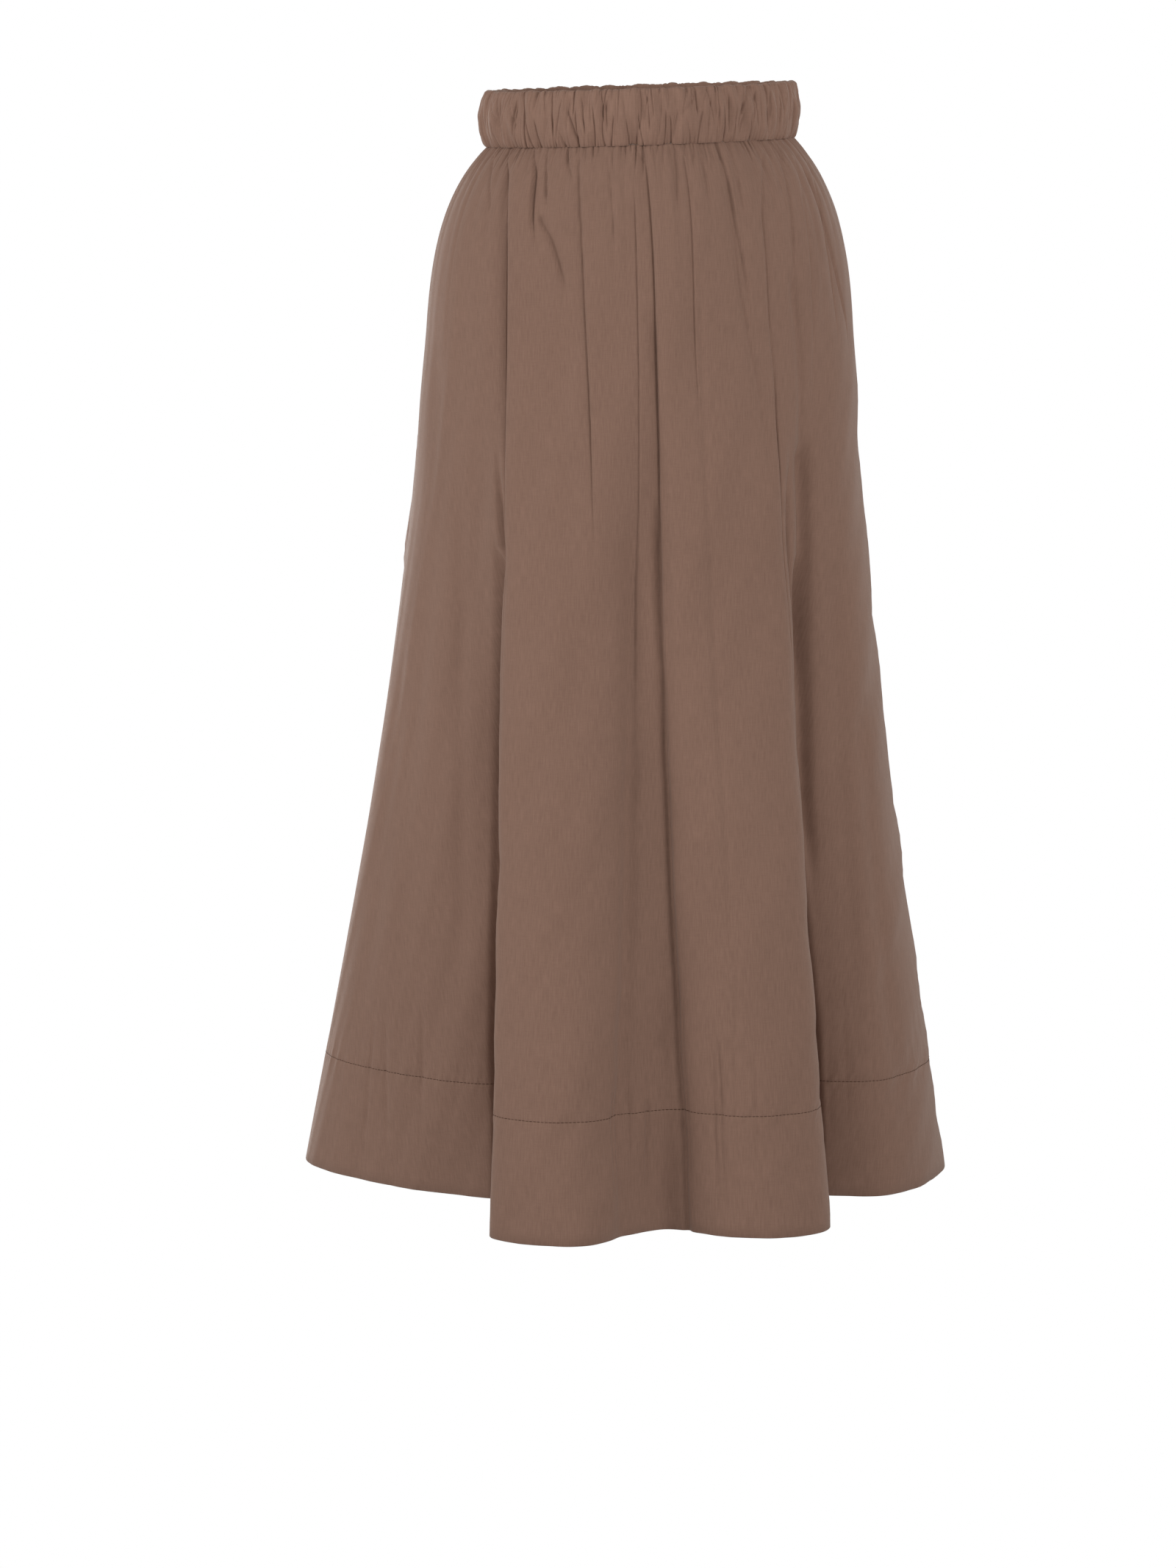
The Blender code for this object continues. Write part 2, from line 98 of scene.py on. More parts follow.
# Angles round the oval in degrees from the middle of the front, positive to +X, as in the model's source
Fold = namedtuple("Fold", "waist_deg hip_deg mid_out power hem_x hem_y")
FOLDS = tuple(Fold(*row) for row in (
    (-94, -96, 0, 1.35, -0.289, 0.095),  # left seam
    (-87, -88, 0, 1.35, -0.296, 0.05),
    (-79.5, -78, 0, 1.35, -0.255, 0.005),
    (-71.5, -67.5, 0, 1.35, -0.195, -0.044),
    (-63.5, -56.5, 0, 1.35, -0.128, -0.076),
    (-58, -49, 0, 1.35, -0.09, -0.086),
    (-54, -43.5, 0, 1.35, -0.098, -0.145),
    (-50, -38, 0, 1.35, -0.133, -0.204),  # left flute edge
    (-41, -30, 0, 1.25, -0.096, -0.229),
    (-24, -17.5, 0, 1.25, -0.046, -0.238),
    (-6, -3, 0, 1.25, -0.014, -0.206),
    (1, 2, 0, 1.25, 0.019, -0.166),  # centre valley
    (7, 6.5, 0, 1.25, 0.048, -0.192),
    (19, 16.5, 0, 1.25, 0.092, -0.212),
    (33, 28.5, 0, 1.2, 0.138, -0.2),
    (43, 37, 0, 1.15, 0.164, -0.17),  # right flute edge
    (48, 43, 0, 1.2, 0.139, -0.118),
    (53, 48.5, 0, 1.3, 0.124, -0.07),
    (60, 57, 0, 1.35, 0.162, -0.064),
    (68, 67, 0, 1.35, 0.21, -0.073),
    (77, 77.5, 0, 1.35, 0.25, -0.022),
    (85, 87, 0, 1.35, 0.269, 0.044),
    (93, 96, 0, 1.35, 0.26, 0.096),  # right seam
    (102, 105, 0.004, 1.3, 0.224, 0.124),
    (111, 113, 0.01, 1.2, 0.204, 0.168),
    (121, 122, 0.008, 1.2, 0.222, 0.24),
    (131, 131, 0, 1.25, 0.156, 0.26),
    (140.5, 140, -0.004, 1.3, 0.11, 0.18),  # back valley right
    (149, 148, 0, 1.25, 0.086, 0.236),
    (159, 158, 0.004, 1.25, 0.052, 0.302),
    (169, 168, 0, 1.25, 0, 0.266),
    (179, 178.5, -0.005, 1.3, -0.02, 0.202),  # back valley centre
    (189, 189, 0, 1.25, -0.056, 0.246),
    (200, 200.5, 0.004, 1.25, -0.11, 0.29),
    (211, 211.5, -0.004, 1.3, -0.144, 0.212),  # back valley left
    (221, 221.5, 0, 1.3, -0.162, 0.16),
    (231.5, 231, 0.005, 1.2, -0.212, 0.208),
    (243, 242, 0.013, 1.2, -0.262, 0.206),
    (255, 253, 0.018, 1.25, -0.24, 0.128),
))
LEFT_SEAM = 0
RIGHT_SEAM = 22
COUNT = len(FOLDS)
SEAM_Z = -BAND_HEIGHT / 2 - SEAM_GAP
FULL_DROP = SEAM_Z - HEM_Z

# A crease runs down the cloth through the points of its path, each a drop and an angle at the hip. It is a
# valley of this depth and half width, and core is the half width of the sharp line in its middle. A positive
# lean lifts the cloth on its +X side over the other side.
Crease = namedtuple("Crease", "name path depth width core lean")


def crease_rows(rows):
    """Creases from rows whose depths and widths are in millimetres."""
    return tuple(Crease(*row[:2], row[2] * MM, row[3] * MM, row[4] * MM, row[5]) for row in rows)


CREASES = crease_rows((
    ("left flute edge",
     ((0, -49), (0.011, -43.5), (0.028, -39.7), (0.058, -37.9), (0.12, -37.4), (0.4, -37.7), (1.3, -38)),
     5.2, 4, 0.7, 0.55),
    ("far left pucker", ((0, -63), (0.018, -54), (0.055, -45)), 2.8, 4, 0.8, 0.2),
    ("left tuck", ((0, -32.5), (0.025, -29.9), (0.048, -30), (0.085, -28)), 3.2, 5, 0.8, -0.6),
    ("left tuck branch", ((0.058, -27.6), (0.076, -24), (0.125, -19.5)), 3, 7, 2, -0.3),
    ("left line", ((0, -26.4), (0.055, -24.8)), 2.8, 3, 0.8, 0.35),
    ("left short line", ((0, -20.6), (0.03, -17.5)), 3, 3, 0.8, 0.2),
    ("lobe line", ((0, -16.4), (0.05, -15.3), (0.117, -14.5), (0.188, -13.5), (0.26, -12.7), (0.38, -11.9)),
     1.3, 6, 0.6, 1),
    ("centre left line", ((0, -8.2), (0.045, -6.8), (0.11, -6.2)), 1.1, 4, 0.6, 0.6),
    ("centre soft line", ((0.06, -0.8), (0.19, -0.4), (0.41, -1), (0.5, -1.3)), 1.2, 8, 0.8, 0.6),
    ("centre branch", ((0, -0.6), (0.016, 2.2)), 2.4, 3, 0.8, 0),
    ("centre line", ((0, 2), (0.019, 2.7), (0.118, 3.9), (0.189, 4.2), (0.47, 4.1)), 1.8, 11, 0.8, 1),
    ("right short line", ((0, 9.4), (0.015, 9)), 2.4, 3, 0.8, 0),
    ("right tuck", ((0, 9.5), (0.011, 13.2), (0.06, 13.8), (0.119, 14), (0.26, 15)), 1, 6, 0.6, 1),
    ("right tuck side", ((0.01, 9.8), (0.06, 9.2)), 2, 4, 1.2, -0.3),
    ("right lobe soft line", ((0.15, 14.7), (0.4, 15), (0.6, 15.5), (0.76, 11.8)), 1, 13, 3, -0.3),
    ("right short line 2", ((0, 16.4), (0.022, 15.2)), 2.4, 3, 0.9, 0),
    ("right soft short line", ((0, 18), (0.037, 18.5), (0.052, 19.4)), 2, 4, 1.2, 0),
    ("slanting line", ((0, 24.4), (0.021, 25.5), (0.07, 26.9), (0.094, 28.2), (0.16, 31)), 1.5, 6, 0.9, 0.6),
    ("slanting line 2", ((0.045, 24.8), (0.105, 25.8), (0.15, 28.2), (0.232, 32.4), (0.3, 35)),
     1.4, 8, 1.6, -0.4),
    ("short slanting line", ((0.03, 28.8), (0.06, 29.3)), 1.8, 3, 1, 0),
    ("right edge line",
     ((0, 46), (0.014, 41.2), (0.034, 37.3), (0.063, 35), (0.12, 35.2), (0.193, 36.5), (0.3, 36.8),
      (0.5, 37.6)),
     1.3, 5, 0.8, -0.6),
    ("right flute edge", ((0.26, 36.8), (0.42, 37.8), (1.3, 38)), 2.4, 5, 0.9, -0.3),
    ("right edge short", ((0, 40), (0.012, 37.4)), 1.2, 3, 0.8, 0),
    ("right side line", ((0, 62), (0.018, 51.4), (0.05, 48.3), (0.13, 44.4)), 1.6, 5, 0.7, 0.3),
    ("right section line", ((0.012, 62), (0.03, 58.5), (0.055, 54.2), (0.125, 52.7), (0.24, 51.6)),
     0.8, 6, 0.8, -0.4),
    ("right hip line", ((0.015, 76), (0.04, 68), (0.083, 64.5), (0.17, 66)), 1.6, 6, 1, -0.25),
    ("right hip slant", ((0.035, 66), (0.083, 67.5), (0.132, 72), (0.18, 80)), 1.8, 8, 1.2, 0.25),
    ("left recess", ((0.33, -41), (0.417, -46), (0.543, -50), (0.668, -52.5), (0.763, -54), (1.4, -56)),
     10.6, 11, 3.5, 0),
    ("right recess", ((0.34, 42), (0.422, 45), (0.546, 48), (0.672, 52), (0.765, 54), (1.4, 56)),
     11.8, 11, 3.5, 0),
    ("centre trough",
     ((0.33, 4), (0.45, 4.3), (0.533, 4.5), (0.653, 4.8), (0.743, 5.1), (0.807, 5.3), (1.05, 5.8)),
     5.4, 8, 3, 0.35),
    ("right back line 1", ((0, 107), (0.3, 108)), 6, 8, 1.1, 0.4),
    ("right back line 2", ((0, 119), (0.05, 116.5), (0.12, 116)), 4, 5, 1, 0.2),
    ("right back line 3", ((0.01, 127.5), (0.23, 128.5)), 5.2, 7, 1, -0.4),
    ("right back line 4", ((0, 140), (0.06, 139), (0.56, 140)), 8, 9, 1.2, 0.45),
    ("back line 1", ((0, 152), (0.04, 150.4), (0.14, 150)), 4.2, 5, 1, 0.2),
    ("back line 2", ((0.01, 162), (0.1, 164.8), (0.28, 165.5)), 5.4, 7, 1, 0.4),
    ("back line 3", ((0, 178), (0.64, 178.5)), 8.5, 9, 1.2, -0.45),
    ("back line 4", ((0, 187), (0.04, 190), (0.11, 190.5)), 3.6, 5, 0.9, 0.2),
    ("back line 5", ((0.01, 197.4), (0.25, 196)), 5.4, 7, 1, 0.4),
    ("left back line 1", ((0, 210), (0.06, 212.4), (0.5, 213)), 8, 9, 1.2, 0.45),
    ("left back line 2", ((0, 224), (0.15, 222)), 4.4, 6, 1, 0.2),
    ("left back line 3", ((0.01, 234), (0.09, 236), (0.32, 236.5)), 6, 8, 1.1, -0.4),
    ("left back line 4", ((0, 250), (0.26, 248)), 5, 8, 1.2, 0.3),
))
# Soft, wide folds of the same kind further down
SOFT_FOLDS = crease_rows((
    ("left corner ease", ((0.3, -86), (1.4, -86)), 3.4, 50, 40, 0),
    ("right corner ease", ((0.25, 86), (0.75, 86)), 2.6, 50, 40, 0),
    ("centre soft valley", ((0.16, 3.9), (0.3, 4.7), (0.5, 5.3)), 4.2, 7, 4, 0),
    ("left section band", ((0.2, -64), (0.55, -69.7), (0.8, -67)), 2, 26, 14, 0.1),
    ("left section inner band", ((0.3, -57), (0.74, -60)), 1.8, 16, 8, 0),
    ("left section outer band", ((0.45, -78), (0.86, -76)), 1.6, 20, 12, 0.1),
    ("left lobe band", ((0.18, -21), (0.42, -18), (0.7, -20)), 1.4, 22, 10, 0),
    ("centre left slope", ((0.36, -1.8), (0.533, -2.5), (0.65, -3.1), (0.738, -4), (1, -4.6)), 7.8, 15, 9, 0),
    ("right valley", ((0.26, 47), (0.302, 47.4), (0.46, 49.5)), 10, 12, 6, -0.15),
    ("right valley top", ((0.12, 44.8), (0.194, 47), (0.3, 47.4)), 3, 10, 4, 0),
    ("right crevice", ((0.36, 48), (0.42, 50), (0.545, 51.6), (0.64, 53.6)), 12.5, 10, 5, 0),
    ("left crevice", ((0.34, -43.5), (0.42, -46.5), (0.56, -51)), 10.5, 8, 4, 0),
    ("right section band", ((0.38, 61), (0.8, 63.5)), 2.2, 22, 10, 0),
    ("right section outer band", ((0.5, 72), (0.87, 74)), 2.2, 20, 10, 0.2),
    ("right back band", ((0.25, 114), (0.86, 117)), 2.6, 20, 9, 0.2),
    ("back band 1", ((0.22, 134), (0.8, 135)), 2.2, 18, 8, 0),
    ("back band 2", ((0.3, 154), (0.85, 153)), 2.4, 18, 8, -0.2),
    ("back band 3", ((0.26, 172), (0.8, 173)), 2, 16, 8, 0),
    ("back band 4", ((0.24, 194), (0.84, 195)), 2.6, 20, 9, 0.2),
    ("back band 5", ((0.3, 206), (0.8, 206)), 2, 16, 8, 0),
    ("left back band", ((0.24, 237), (0.84, 238)), 2.6, 20, 9, -0.2),
))
# Short wrinkles that cross the stitches of the hem
HEM_CREASES = crease_rows(("hem line", *row) for row in (
    (((0.765, -6.7), (0.852, -6.6)), 2.4, 4, 1.2, 0),
    (((0.77, -4.8), (0.86, -5.2)), 2.2, 4, 1.2, 0.2),
    (((0.762, -2.6), (0.832, -3.2)), 2, 4, 1.2, 0),
    (((0.768, 0.2), (0.86, 0.2)), 2.4, 4, 1.2, 0.2),
    (((0.705, 5.3), (0.77, 5.4), (0.865, 5.9)), 2.2, 5, 1.2, -0.3),
    (((0.74, 10.8), (0.87, 10.2)), 2.6, 4, 1.2, 0),
    (((0.735, 12.3), (0.865, 11.8)), 2.2, 4, 1.1, 0.2),
    (((0.66, 17.4), (0.75, 15.6), (0.87, 14.6)), 0.9, 6, 2, 0.2),
    (((0.735, 19.6), (0.82, 18.4)), 1.4, 4, 1.2, 0),
    (((0.745, 56.7), (0.865, 56.6)), 0.4, 4, 1.2, 0),
    (((0.7, 60.2), (0.83, 60.7)), 0.4, 5, 1.3, 0.2),
    (((0.68, 66.9), (0.86, 64.6)), 0.5, 5, 1.3, 0),
    (((0.75, -76), (0.87, -75.2)), 1.6, 5, 1.3, 0),
    (((0.745, -73.4), (0.865, -70.6)), 1.6, 5, 1.3, 0.2),
    (((0.73, -66.6), (0.84, -66)), 1.3, 5, 1.3, 0),
))
FADE_IN = 0.10  # share of its length in which a crease sets in
FADE_OUT = 0.45  # share of its length in which it fades out
SEAM_HOLD = 0.010  # drop in which the waist seam stops holding the creases flat
VALLEY_SHARE = 0.30  # the part of a crease's depth in its wide valley, with the rest in its sharp line
LOW_REACH = 1.6  # reach of the lower side's slope, in half widths
LIFTED_REACH = 4.5  # reach of the lifted side's swell
SLOT_SHIFT = 0.9  # how far the sharp line lies on the lower side, in its own half widths
MOST_WIDTHS = 11.0  # beyond this many half widths a crease isn't felt

# Gathers under the waist seam
GATHERS = 64
GATHER_DEPTH = 0.0017
GATHER_FADE = (0.025, 0.085)
GATHER_FALL = 1.3
GATHER_SEED = 7
GATHER_SCATTER = 0.26
GATHER_DEPTHS = (0.55, 1.15)
VALLEY_ROUNDING = 0.01
GATHER_SHARE = 0.50  # share of the gathers' depth that is used here, besides the puckers
PUCKERS = 220
PUCKER_DEPTH = (0.0007, 0.0023)
PUCKER_LENGTH = (0.006, 0.034)
PUCKER_CORE = 0.0007
PUCKER_SEED = 21
PUCKER_START = -100.0  # the angle at the waist from which they are counted
PUCKER_SCATTER = 0.45  # how far each lies off its even place, as a share of the pitch
PUCKER_DRIFT = 0.9

# Uneven cloth: soft waves across by wavelength and height, each much longer down than across
RIPPLE_SEED = 33
Ripple = namedtuple("Ripple", "across down height")
RIPPLES = (
    Ripple(0.100, 1.80, 0.00036),
    Ripple(0.060, 1.40, 0.00020),
    Ripple(0.036, 0.90, 0.00011),
    Ripple(0.021, 0.60, 0.00006),
    Ripple(0.012, 0.40, 0.00003),
)
WAVES_PER_RIPPLE = 4
ACROSS_SPREAD = (0.75, 1.35)
DOWN_SPREAD = (0.7, 1.5)
RIPPLE_AT_TOP = 0.25  # share of the ripples that is there at the waist seam already
RIPPLE_DROP = 0.25  # from this drop on they have their full height

# Hem stitches
STITCH_DROP = FULL_DROP - HEM_DEPTH
STITCH_NEAR = 0.008
# Down to each of these drops, in this many rows
ROW_SPANS = (
    (0.020, 10),
    (0.150, 47),
    (STITCH_DROP - STITCH_NEAR, 47),
    (STITCH_DROP + STITCH_NEAR, 12),
    (FULL_DROP - EDGE_ROUND, 9),
)
STITCH_PITCH = 0.0033
STITCH_LENGTH = 0.0029
THREAD_RADIUS = 0.00028
THREAD_RINGS = 5
THREAD_SIDES = 6
THREAD_END = 0.35  # the ends are as thin as the sine of this angle
THREAD_RISE = 1.2  # how far a stitch rises out of the cloth in its middle, and how deep it lies, in radii
THREAD_SUNK = 0.5
GROOVE_DEPTH = 0.00032
GROOVE_HALF = 0.0012
STITCH_PUCKER = 0.00011
STITCH_PUCKER_REACH = 0.011
STITCH_PUCKER_WAVES = 5
STITCH_PUCKER_LENGTHS = (0.006, 0.021)
STITCH_SEED = 5

# The waistband's creases: angles at the top, the middle and the bottom, the heights of both ends as shares of
# the band's height, depth, half width of the sharp line, and lean as above
BandCrease = namedtuple("BandCrease", "top_deg mid_deg end_deg top end depth core lean")


def band_crease_rows(rows):
    """Creases of the waistband from rows whose depths and widths are in millimetres."""
    return tuple(BandCrease(*row[:5], row[5] * MM, row[6] * MM, row[7]) for row in rows)


BAND_CREASES = band_crease_rows((
    (-75.7, -72.7, -76.5, 0.21, -0.46, 0.7, 0.5, 0.2),
    (-70.8, -64.9, -58.4, 0.33, -0.13, 1.2, 0.7, 0.5),
    (-59.3, -58.3, -58.8, 0.23, -0.13, 0.5, 0.5, 0),
    (-58.1, -59, -59.8, 0.01, -0.42, 0.6, 0.5, 0),
    (-55.6, -52.3, -49.9, 0.25, -0.13, 0.9, 0.6, 0.4),
    (-51, -50.9, -52.1, 0.23, -0.5, 0.6, 0.5, 0.2),
    (-47.7, -45.6, -43.1, 0.5, -0.45, 1.4, 0.6, 0.5),
    (-41.2, -41.2, -41.5, 0.42, 0.21, 0.5, 0.6, 0),
    (-36, -36.1, -37.2, 0.16, -0.1, 0.5, 0.6, 0),
    (-34.1, -33.1, -33, 0.42, -0.5, 1.2, 0.6, 0.3),
    (-31.4, -29.8, -28.5, -0.26, -0.5, 0.9, 0.6, 0.3),
    (-27.1, -24.9, -22.8, 0.1, -0.32, 1.6, 0.9, 0.5),
    (-22.4, -20.3, -20.4, 0.02, -0.29, 0.6, 0.6, 0.2),
    (-18, -16.7, -16.8, 0.29, -0.41, 1.3, 0.6, 0.4),
    (-13, -14.5, -13.6, 0.41, -0.46, 1.4, 0.6, -0.4),
    (-11.5, -12.5, -13.3, 0.4, 0.17, 0.8, 0.6, -0.2),
    (-9.1, -9, -9.6, 0.34, -0.35, 0.6, 0.5, 0.2),
    (-5.2, -6, -7.2, 0.08, -0.03, 0.4, 0.6, 0),
    (-1, -0.6, -2.3, 0.41, -0.38, 0.9, 0.6, -0.3),
    (1.7, 3, 3.2, 0.39, -0.21, 1.3, 0.6, 0.4),
    (6.7, 6.5, 6.2, 0.2, -0.34, 0.6, 0.5, 0),
    (9.9, 10, 9.5, 0.39, 0.17, 0.7, 0.6, 0.2),
    (13.5, 11.9, 11.3, 0.1, -0.38, 0.9, 0.6, -0.3),
    (15.2, 15.1, 14.8, -0.23, -0.46, 0.5, 0.5, 0),
    (19.7, 17.3, 13.5, 0.34, 0.1, 1.1, 1, -0.4),
    (22.8, 21, 20.5, 0.05, -0.5, 1.3, 0.6, -0.4),
    (26.5, 25.1, 25, 0.3, -0.5, 1, 0.6, 0.2),
    (29.7, 28.6, 28.1, 0.23, -0.35, 0.6, 0.5, 0),
    (32.9, 31.6, 31.1, 0.3, -0.13, 0.6, 0.5, 0),
    (43.2, 38.3, 36.7, 0.41, -0.33, 1.6, 0.7, -0.5),
    (46.6, 45.5, 43.8, 0.36, -0.12, 1.3, 0.6, 0.4),
    (55.4, 52.8, 53.5, 0.4, -0.36, 1.1, 0.6, -0.3),
    (59.7, 58.2, 57.8, 0.36, -0.08, 0.9, 0.5, 0.3),
    (60.9, 60.5, 61.6, 0.08, -0.41, 0.4, 0.5, 0),
    (67.4, 64, 63.1, 0.23, 0.01, 0.7, 0.6, 0.2),
))
BAND_REACH = 0.10  # how much further than these heights a crease runs out
BAND_FADE = 0.25  # share of its length in which it fades at either end
BAND_OVERRUN = 0.2  # how far its curve is followed past its ends
BAND_VALLEY = 0.0021
BAND_LEANS = (-0.4, -0.2, 0.0, 0.2, 0.4)

# The creases that the photograph doesn't show
BAND_SEED = 12
HIDDEN_FROM = 63.0
HIDDEN_TO = 282.0
HIDDEN_STEP = (2.6, 5.6)
HIDDEN_SLANT = 1.9
HIDDEN_BOW = 0.7
HIDDEN_TOPS = ((0.50, 0.46, 0.36, 0.22), (0.4, 0.3, 0.2, 0.1))  # heights, and how often each comes
HIDDEN_ENDS = ((-0.50, -0.40, -0.20, 0.05), (0.6, 0.15, 0.15, 0.1))
HIDDEN_DEPTH = (0.0005, 0.0016)
HIDDEN_CORE = (0.0005, 0.0007)

# Short fine creases between the others
BAND_FINE = 170
BAND_FINE_SEED = 8
FINE_SCATTER = 0.5
FINE_SLANT = 0.8
FINE_LENGTH = (0.3, 0.7)
FINE_LOWER_TOP = 0.3
FINE_ODDS = (0.45, 0.35, 0.2)  # how often a crease starts at the top, ends at the bottom, or starts lower
FINE_DEPTH = (0.0006, 0.0016)
FINE_CORE = (0.0004, 0.0006)

# Puckers at both edges of the waistband, and its soft waves
BAND_PUCKERS = 200
BAND_PUCKER_DEPTH = (0.0003, 0.0010)
BAND_PUCKER_REACH = 0.18
BAND_PUCKER_CORE = 0.0007
BAND_PUCKER_SEED = 4
BAND_PUCKER_SCATTER = 0.4
BAND_PUCKER_SPREAD = (0.5, 1.5)
BAND_PUCKER_SLANT = 1.5
BAND_PUCKER_HIGH = 0.9  # depth and reach of those at the top, as a share of those at the bottom
BAND_WAVES = 14
BAND_WAVE_COUNTS = (9, 70)
BAND_WAVE_LEAN = 2.5
BAND_WAVE_HEIGHT = 0.0003

# The waistband's section, in shares of its height
BAND_LOW_UPS = (-0.5, -0.494, -0.48)
BAND_FIRST_UP = -0.46
BAND_ROWS = 27
BAND_FOLD_ROWS = 7
BAND_INNER_ROWS = 12
BAND_INSIDE = 0.35  # share of the relief that shows on the inside
BAND_FOLD_LOSS = 0.6  # share of the relief that is lost over the top fold
BAND_SWELL_UPS = (-0.5, -0.44, -0.24, 0.06, 0.36, 0.5)
BAND_SWELL_SHARES = (0.06, 0.42, 0.92, 1.10, 0.60, 0.05)
BAND_SWELL_KERNEL = (1, 3, 5, 3, 1)
BAND_INNER_SWELL = -0.2
BAND_LEFT_SWELL = 0.5  # how much fuller the left side is
BAND_TOP_ROW = 34  # the row whose relief makes the upper edge uneven, above this height and by this share
BAND_TOP_FROM = 0.2
BAND_TOP_GAIN = 0.7
BAND_EVEN_STEPS = 2000

# Colours as linear values
LIT_BROWN = (0.208, 0.1198, 0.0860, 1.0)
DEEP_BROWN = (0.169, 0.0962, 0.0685, 1.0)
BAND_PAINTED_LIGHT = 1.10  # painted light: the waistband's copy of the same cloth is painted this much lighter, to make up for the shade in its creases
THREAD_BROWN = (0.062, 0.031, 0.020, 1.0)
CLOTH_LOOK = {
    "Roughness": 0.78,
    "Specular IOR Level": 0.22,
    "Sheen Weight": 0.22,
    "Sheen Roughness": 0.45,
    "Sheen Tint": (0.80, 0.72, 0.64, 1.0),
}
THREAD_LOOK = {"Base Color": THREAD_BROWN, "Roughness": 0.8, "Specular IOR Level": 0.1}
CLOTH_BUMP = {"Strength": 0.35, "Distance": 0.00012}
THREAD_BUMP = {"Strength": 0.4, "Distance": 0.0001}
TWIST_SCALE = 900.0

# The weave: grains to a metre across and down with the noise's detail, threads to a metre, and their shares
CLOTH_MAP = "Cloth"
SLUBS = (1100.0, 70.0, 3.0)
WEFT_SLUBS = (90.0, 1300.0, 2.0)
MOTTLE = (9.0, 5.0, 2.0)
WEFT_SHARE = 0.35
MOTTLE_SHARE = 0.25
RAMP_ENDS = (0.62, 1.08 / 1.1)
WARP_THREADS = 1900.0
WEFT_THREADS = 1700.0
WEFT_HEIGHT = 0.8
SLUB_HEIGHT = 2.2
WAVES_PER_UNIT = 20 / (2 * math.pi)  # of the wave texture, at scale 1

# Light: how bright the floor and the backdrop are to the cloth, and each lamp's turn from the front to +X,
# rise, distance, size, watts, the height it is aimed at, and the angle of its beam
SURROUND = 0.42
LAMPS = (
    ("key", -66.0, 8.0, 3.4, 1.8, 17.2, -0.20, 80.0),
    ("fill", 50.0, 8.0, 3.4, 1.8, 12.4, -0.15, 80.0),
    ("front", 0.0, 20.0, 3.5, 1.6, 5.0, -0.15, 80.0),
    ("back left", -152.0, 5.0, 4.0, 1.2, 4.3, -0.80, 30.0),
    ("back right", 145.0, 10.0, 4.0, 2.6, 9.5, -0.40, 80.0),
)

# The floor is where a wearer of this skirt would stand
FLOOR_Z = -1.13
FLOOR_HALF = 30.0

# The photograph's camera
PHOTO_HEIGHT = 2133
FOCAL_PIXELS = 6540.0
SENSOR_HEIGHT = 36.0
CAMERA_PLACE = (-0.0430, -4.0, 0.0912)
CAMERA_PITCH = math.radians(9.24)


def fold_column(name):
    return np.array([getattr(fold, name) for fold in FOLDS])


def spline(values, u, turn=0.0):
    """A closed cubic B-spline with these values at u = 0, 1, 2 and so on. turn is added once round."""
    u = np.asarray(u, float)
    first = np.floor(u).astype(int)
    f = u - first
    weights = (
        (1 - f) ** 3 / 6,
        (3 * f**3 - 6 * f**2 + 4) / 6,
        (-3 * f**3 + 3 * f**2 + 3 * f + 1) / 6,
        f**3 / 6,
    )
    total = np.zeros_like(u)
    for step, weight in zip((-1, 0, 1, 2), weights):
        index = first + step
        total += weight * (values[index % COUNT] + turn * (index // COUNT))
    return total


def waist_degrees(u):
    return spline(fold_column("waist_deg"), u, FULL_TURN)


def hip_degrees(u):
    return spline(fold_column("hip_deg"), u, FULL_TURN)


def oval(degrees, half_width, half_front, half_back):
    angle = np.radians(degrees)
    depth = np.where(np.cos(angle) > 0, half_front, half_back)
    return np.stack([half_width * np.sin(angle), -depth * np.cos(angle)], axis=-1)


def outline(u, drop):
    """The smooth cloth's plan at this drop, x and y for each u, as in the model's source."""
    wide = 1 - math.exp(-drop / HIP_EASE)
    degrees = waist_degrees(u) * (1 - wide) + hip_degrees(u) * wide
    upper = oval(
        degrees,
        WAIST_HALF_WIDTH + (HIP_HALF_WIDTH - WAIST_HALF_WIDTH) * wide,
        WAIST_HALF_DEPTH + (HIP_HALF_DEPTH_FRONT - WAIST_HALF_DEPTH) * wide,
        WAIST_HALF_DEPTH + (HIP_HALF_DEPTH_BACK - WAIST_HALF_DEPTH) * wide,
    )
    swell = math.exp(-(((drop - MID_DROP) / MID_REACH) ** 2))
    angle = np.radians(degrees)
    outward = np.stack([np.sin(angle), -np.cos(angle)], axis=-1)
    upper = upper + outward * (spline(fold_column("mid_out"), u) * swell)[:, None]
    hem = np.stack([spline(fold_column("hem_x"), u), spline(fold_column("hem_y"), u)], axis=-1)
    flared = max(0.0, (drop - FLARE_START) / (FULL_DROP - FLARE_START))
    share = (flared ** spline(fold_column("power"), u))[:, None]
    return upper * (1 - share) + hem * share


def outward_of(curve_before, curve_after):
    along = curve_after - curve_before
    normal = np.stack([along[:, 1], -along[:, 0]], axis=-1)
    return normal / np.linalg.norm(normal, axis=1)[:, None]


def lengths_along(curve):
    """How far each point of a curve is from its first one, measured along it."""
    steps = np.linalg.norm(np.diff(curve, axis=0), axis=1)
    return np.concatenate([[0.0], np.cumsum(steps)])


